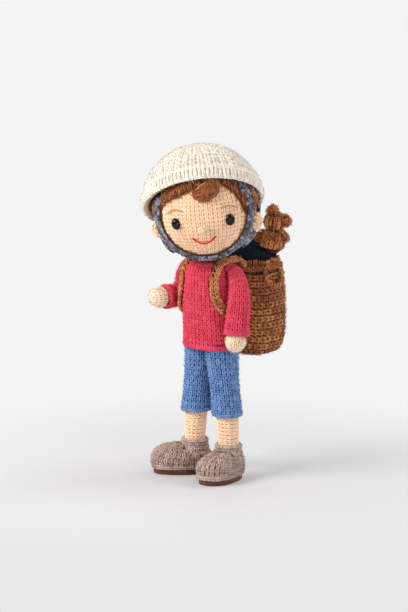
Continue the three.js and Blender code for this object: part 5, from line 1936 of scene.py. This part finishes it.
@dataclass
class SmallBear:
    """The small bear that sits on the blanket and looks away to the back."""

    seat: tuple = (18, 44.38, 160.5)
    upright: tuple = (0.1, 0.1, 0.99)
    look: tuple = (-0.3, 0.93, -0.1)
    trunk: tuple = (5, 17)
    head_height: float = 24.0
    ear_starts: tuple = ((0.1, -0.35, 0.93), (0.95, 0.3, 0.1))
    arm: tuple = (0.85, 0.5)
    bead_places: tuple = ((-2.6, 2.6, 6.4, 0.85), (2.6, 2.6, 6.4, 0.85), (0, 0.4, 9.6, 1.0))

    def build(self) -> None:
        """Builds the bear from its trunk to its bead eyes."""
        axis = unit(vec(*self.upright))
        base = ANKLES + vec(*self.seat)
        head = base + axis * self.head_height
        face = unit(vec(*self.look))
        self.knit("bear_trunk", "bear_body",
                  tube([base + axis * z for z in self.trunk], vec(0, -1, 0), count=30), reach=12.0, wide=3.5,
                  tall=3.4, seed=95, covers=["bear_head", "blanket"], fuzz=500, columns=14)
        self.knit("bear_skull", "bear_head", dome(head, axis, vec(0, -1, 0), low=-75, high=88, count=40),
                  reach=9.0, wide=3.4, tall=3.3, seed=96,
                  covers=["bear_body", "bear_ear_left", "bear_ear_right", "bear_muzzle"], fuzz=300)
        for (side, name), way in zip(SIDES, self.ear_starts):
            self.knit(f"bear_ear_knit_{name}", f"bear_ear_{name}",
                      dome(self.centre(f"bear_ear_{name}"), face, vec(*way), low=-88, high=88, count=30),
                      reach=6.0, wide=2.9, tall=2.8, seed=97, covers=["bear_head"])
            along = vec(self.arm[0] * side, self.arm[1] * side, -0.2)
            self.knit(f"bear_arm_knit_{name}", f"bear_arm_{name}",
                      dome(self.centre(f"bear_arm_{name}"), along, vec(0, 0, 1), low=-70, high=88,
                           count=30), reach=8.0, wide=3.2, tall=3.1, seed=98,
                      covers=["bear_body", "bear_head"], proud=0.8)
        Crochet("bear_snout", "bear", ["bear_muzzle"], Finishes.strap,
                dome(self.centre("bear_muzzle"), face, vec(0, 0, 1), low=-60, high=88, count=24), reach=5.0,
                wide=1.9, tall=1.8, seed=99, covers=["bear_head"], cover_gap=1.0).build()
        self.beads(head, face)

    @staticmethod
    def centre(node: str) -> Point:
        """The middle of a CAD node's box."""
        low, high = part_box(node)
        return np.array((low + high) / 2) / MM

    @staticmethod
    def knit(name: str, node: str, stations: list[Station], reach: float, wide: float, tall: float,
             seed: int, covers: Sequence[str], fuzz: int = 200, proud: float = 0.9,
             columns: int | None = None) -> None:
        """Works one piece of the bear in its chunky yarn.

        Args:
            name: The piece's name.
            node: The CAD node that it dresses.
            stations: The rings of rays.
            reach: How far out the node's outside is looked for.
            wide: The width of a stitch.
            tall: The height of a round.
            seed: The seed of the wobble.
            covers: The CAD nodes under which it has no stitches.
            fuzz: How many loose fibres it has.
            proud: How far the stitches stand out.
            columns: How many stitches each round has, or None to fit the width.
        """
        Crochet(name, "bear", [node], Finishes.bear, stations, reach, wide, tall, seed=seed, covers=covers,
                cover_gap=0.6, columns=columns, wobble=0.2, proud=proud, inset=1.5, thickness=0.84, fuzz=fuzz,
                curl=1.4).build()

    def beads(self, head: Point, face: Point) -> None:
        """The bear's bead eyes and nose.

        Args:
            head: The middle of its head.
            face: The direction of its face.
        """
        side = unit(np.cross(face, vec(0, 0, 1)))
        up = np.cross(side, face)
        parts = []
        rounds, sides = 9, 16
        turns = np.linspace(0, 2 * math.pi, sides, endpoint=False)
        tilts = np.linspace(-math.pi / 2, math.pi / 2, rounds + 2)[1:-1]
        ball = [vec(0, 0, -1), vec(0, 0, 1)]
        ball += [vec(math.cos(e) * math.cos(a), math.cos(e) * math.sin(a), math.sin(e)) for e in tilts
                 for a in turns]
        for across, high, out, radius in self.bead_places:
            place = head + side * across + up * high + face * out
            mesh = new_mesh("bead", place + np.array(ball) * radius, ring_faces(rounds, sides))
            parts.append(smooth_object("bead", mesh, WARDROBE.of(Finishes.eye)))
        WARDROBE.hand_over(joined("bear_beads", parts), "bear", Finishes.eye, [])


@dataclass
class Studio:
    """The pale floor, the soft light and the camera at the photograph's angle."""

    azimuth: float = 40.0
    elevation: float = 12.0
    distance: float = 6000.0
    lens: float = 485.4
    target: Point = field(default_factory=lambda: ANKLES + vec(-4.3, -3.6, 126))
    pale: Colour = (244, 244, 244)
    # The lit paper near the doll, darker than the glow, which paints a darkening round the feet.
    paper: Colour = (200, 200, 203)
    floor_half: float = 6000.0
    room: float = 0.17
    lamp_aim: float = 120.0
    lamps: tuple = (
        ("key", (-300, -700, 640), 520, 9.0, (255, 250, 244)),
        ("fill", (720, -420, 260), 520, 2.9, (250, 251, 255)),
        ("rim", (340, 520, 720), 460, 3.0, (255, 253, 250)),
    )

    def build(self) -> None:
        """Builds the studio."""
        self.camera()
        self.floor()
        self.world()
        for name, place, size, power, colour in self.lamps:
            self.lamp(name, vec(*place), size, power, colour)

    def camera(self) -> None:
        """The camera."""
        a, e = math.radians(self.azimuth), math.radians(self.elevation)
        away = vec(math.sin(a) * math.cos(e), -math.cos(a) * math.cos(e), math.sin(e))
        data = bpy.data.cameras.new("camera")
        data.lens = self.lens
        data.sensor_width = 36
        data.clip_start = 0.01
        made = new_object("camera", data)
        made.location = Vector((self.target + away * self.distance) * MM)
        made.rotation_euler = Vector(-away).to_track_quat("-Z", "Y").to_euler()
        bpy.context.scene.camera = made

    def floor(self) -> None:
        """A wide pale floor that keeps the doll's soft shadow, with painted shade: near the doll its darker
        lit paper shows round the feet, and its camera-ray glow dims towards the camera.
        """
        corners = [vec(x, y, 0) * self.floor_half for x, y in ((-1, -1), (1, -1), (1, 1), (-1, 1))]
        mesh = new_mesh("floor", corners, [(0, 1, 2, 3)])
        material = bpy.data.materials.new("floor_paper")
        material.use_nodes = True
        board = Board(material.node_tree)
        principled = board.tree.nodes["Principled BSDF"]
        board.feed(principled, {
            "Base Color": linear(self.paper), "Roughness": 0.6, "Specular IOR Level": 0.2,
        })
        place = board.add("ShaderNodeNewGeometry").outputs["Position"]
        a = math.radians(self.azimuth)
        # Painted shade: the camera-ray glow dims on the camera's side of the floor.
        nearer = board.vectors("DOT_PRODUCT", place, (math.sin(a), -math.cos(a), 0.0), out="Value")
        dimmer = board.eased(nearer, -0.1, 0.25, 1.0, 0.91)
        glow = board.add("ShaderNodeEmission", {"Color": linear(self.pale), "Strength": dimmer})
        # Near the doll the lit paper takes over from the brighter glow: its real shadow, and a painted
        # darkening round the feet.
        share = board.eased(board.vectors("LENGTH", place, out="Value"), 0.04, 0.3, 0.12, 1.0)
        seen = board.maths("MULTIPLY", board.add("ShaderNodeLightPath").outputs["Is Camera Ray"], share)
        mix = board.add("ShaderNodeMixShader", {0: seen, 1: principled.outputs[0], 2: glow.outputs[0]})
        board.feed(board.tree.nodes["Material Output"], {"Surface": mix.outputs[0]})
        mesh.materials.append(material)
        new_object("floor", mesh)

    def world(self) -> None:
        """A surround that is white behind the doll and dim on the camera's side, as in a studio."""
        world = bpy.data.worlds.new("surround")
        bpy.context.scene.world = world
        world.use_nodes = True
        board = Board(world.node_tree)
        a = math.radians(self.azimuth)
        behind = board.add("ShaderNodeTexCoord").outputs["Generated"]
        facing = board.vectors("DOT_PRODUCT", behind, (-math.sin(a), math.cos(a), 0.0), out="Value")
        strength = board.eased(facing, -0.6, 0.5, self.room, 1.0)
        board.feed(world.node_tree.nodes["Background"], {"Color": linear(self.pale), "Strength": strength})

    def lamp(self, name: str, place: Point, size: float, power: float, colour: Colour) -> None:
        """One soft lamp that points at the doll.

        Args:
            name: Its name.
            place: Where it is, from the doll's ankles.
            size: The side of its square.
            power: Its power in watts.
            colour: Its colour.
        """
        data = bpy.data.lights.new(name, "AREA")
        data.size = size * MM
        data.energy = power
        data.color = linear(colour)[:3]
        made = new_object(name, data)
        made.location = Vector(place * MM)
        aim = Vector((0, 0, self.lamp_aim * MM)) - made.location
        made.rotation_euler = aim.to_track_quat("-Z", "Y").to_euler()


def main() -> None:
    """Builds the doll piece by piece, then the studio."""
    logging.basicConfig(level=logging.INFO, format="%(message)s")
    bpy.context.scene.view_settings.view_transform = "Standard"
    for assembly in (Face(), Hair(), Helmet(), Body(), Arms(), Shoes(), Backpack(), SmallBear(), Studio()):
        log.info("building %s", type(assembly).__name__)
        assembly.build()


if __name__ == "__main__":
    main()
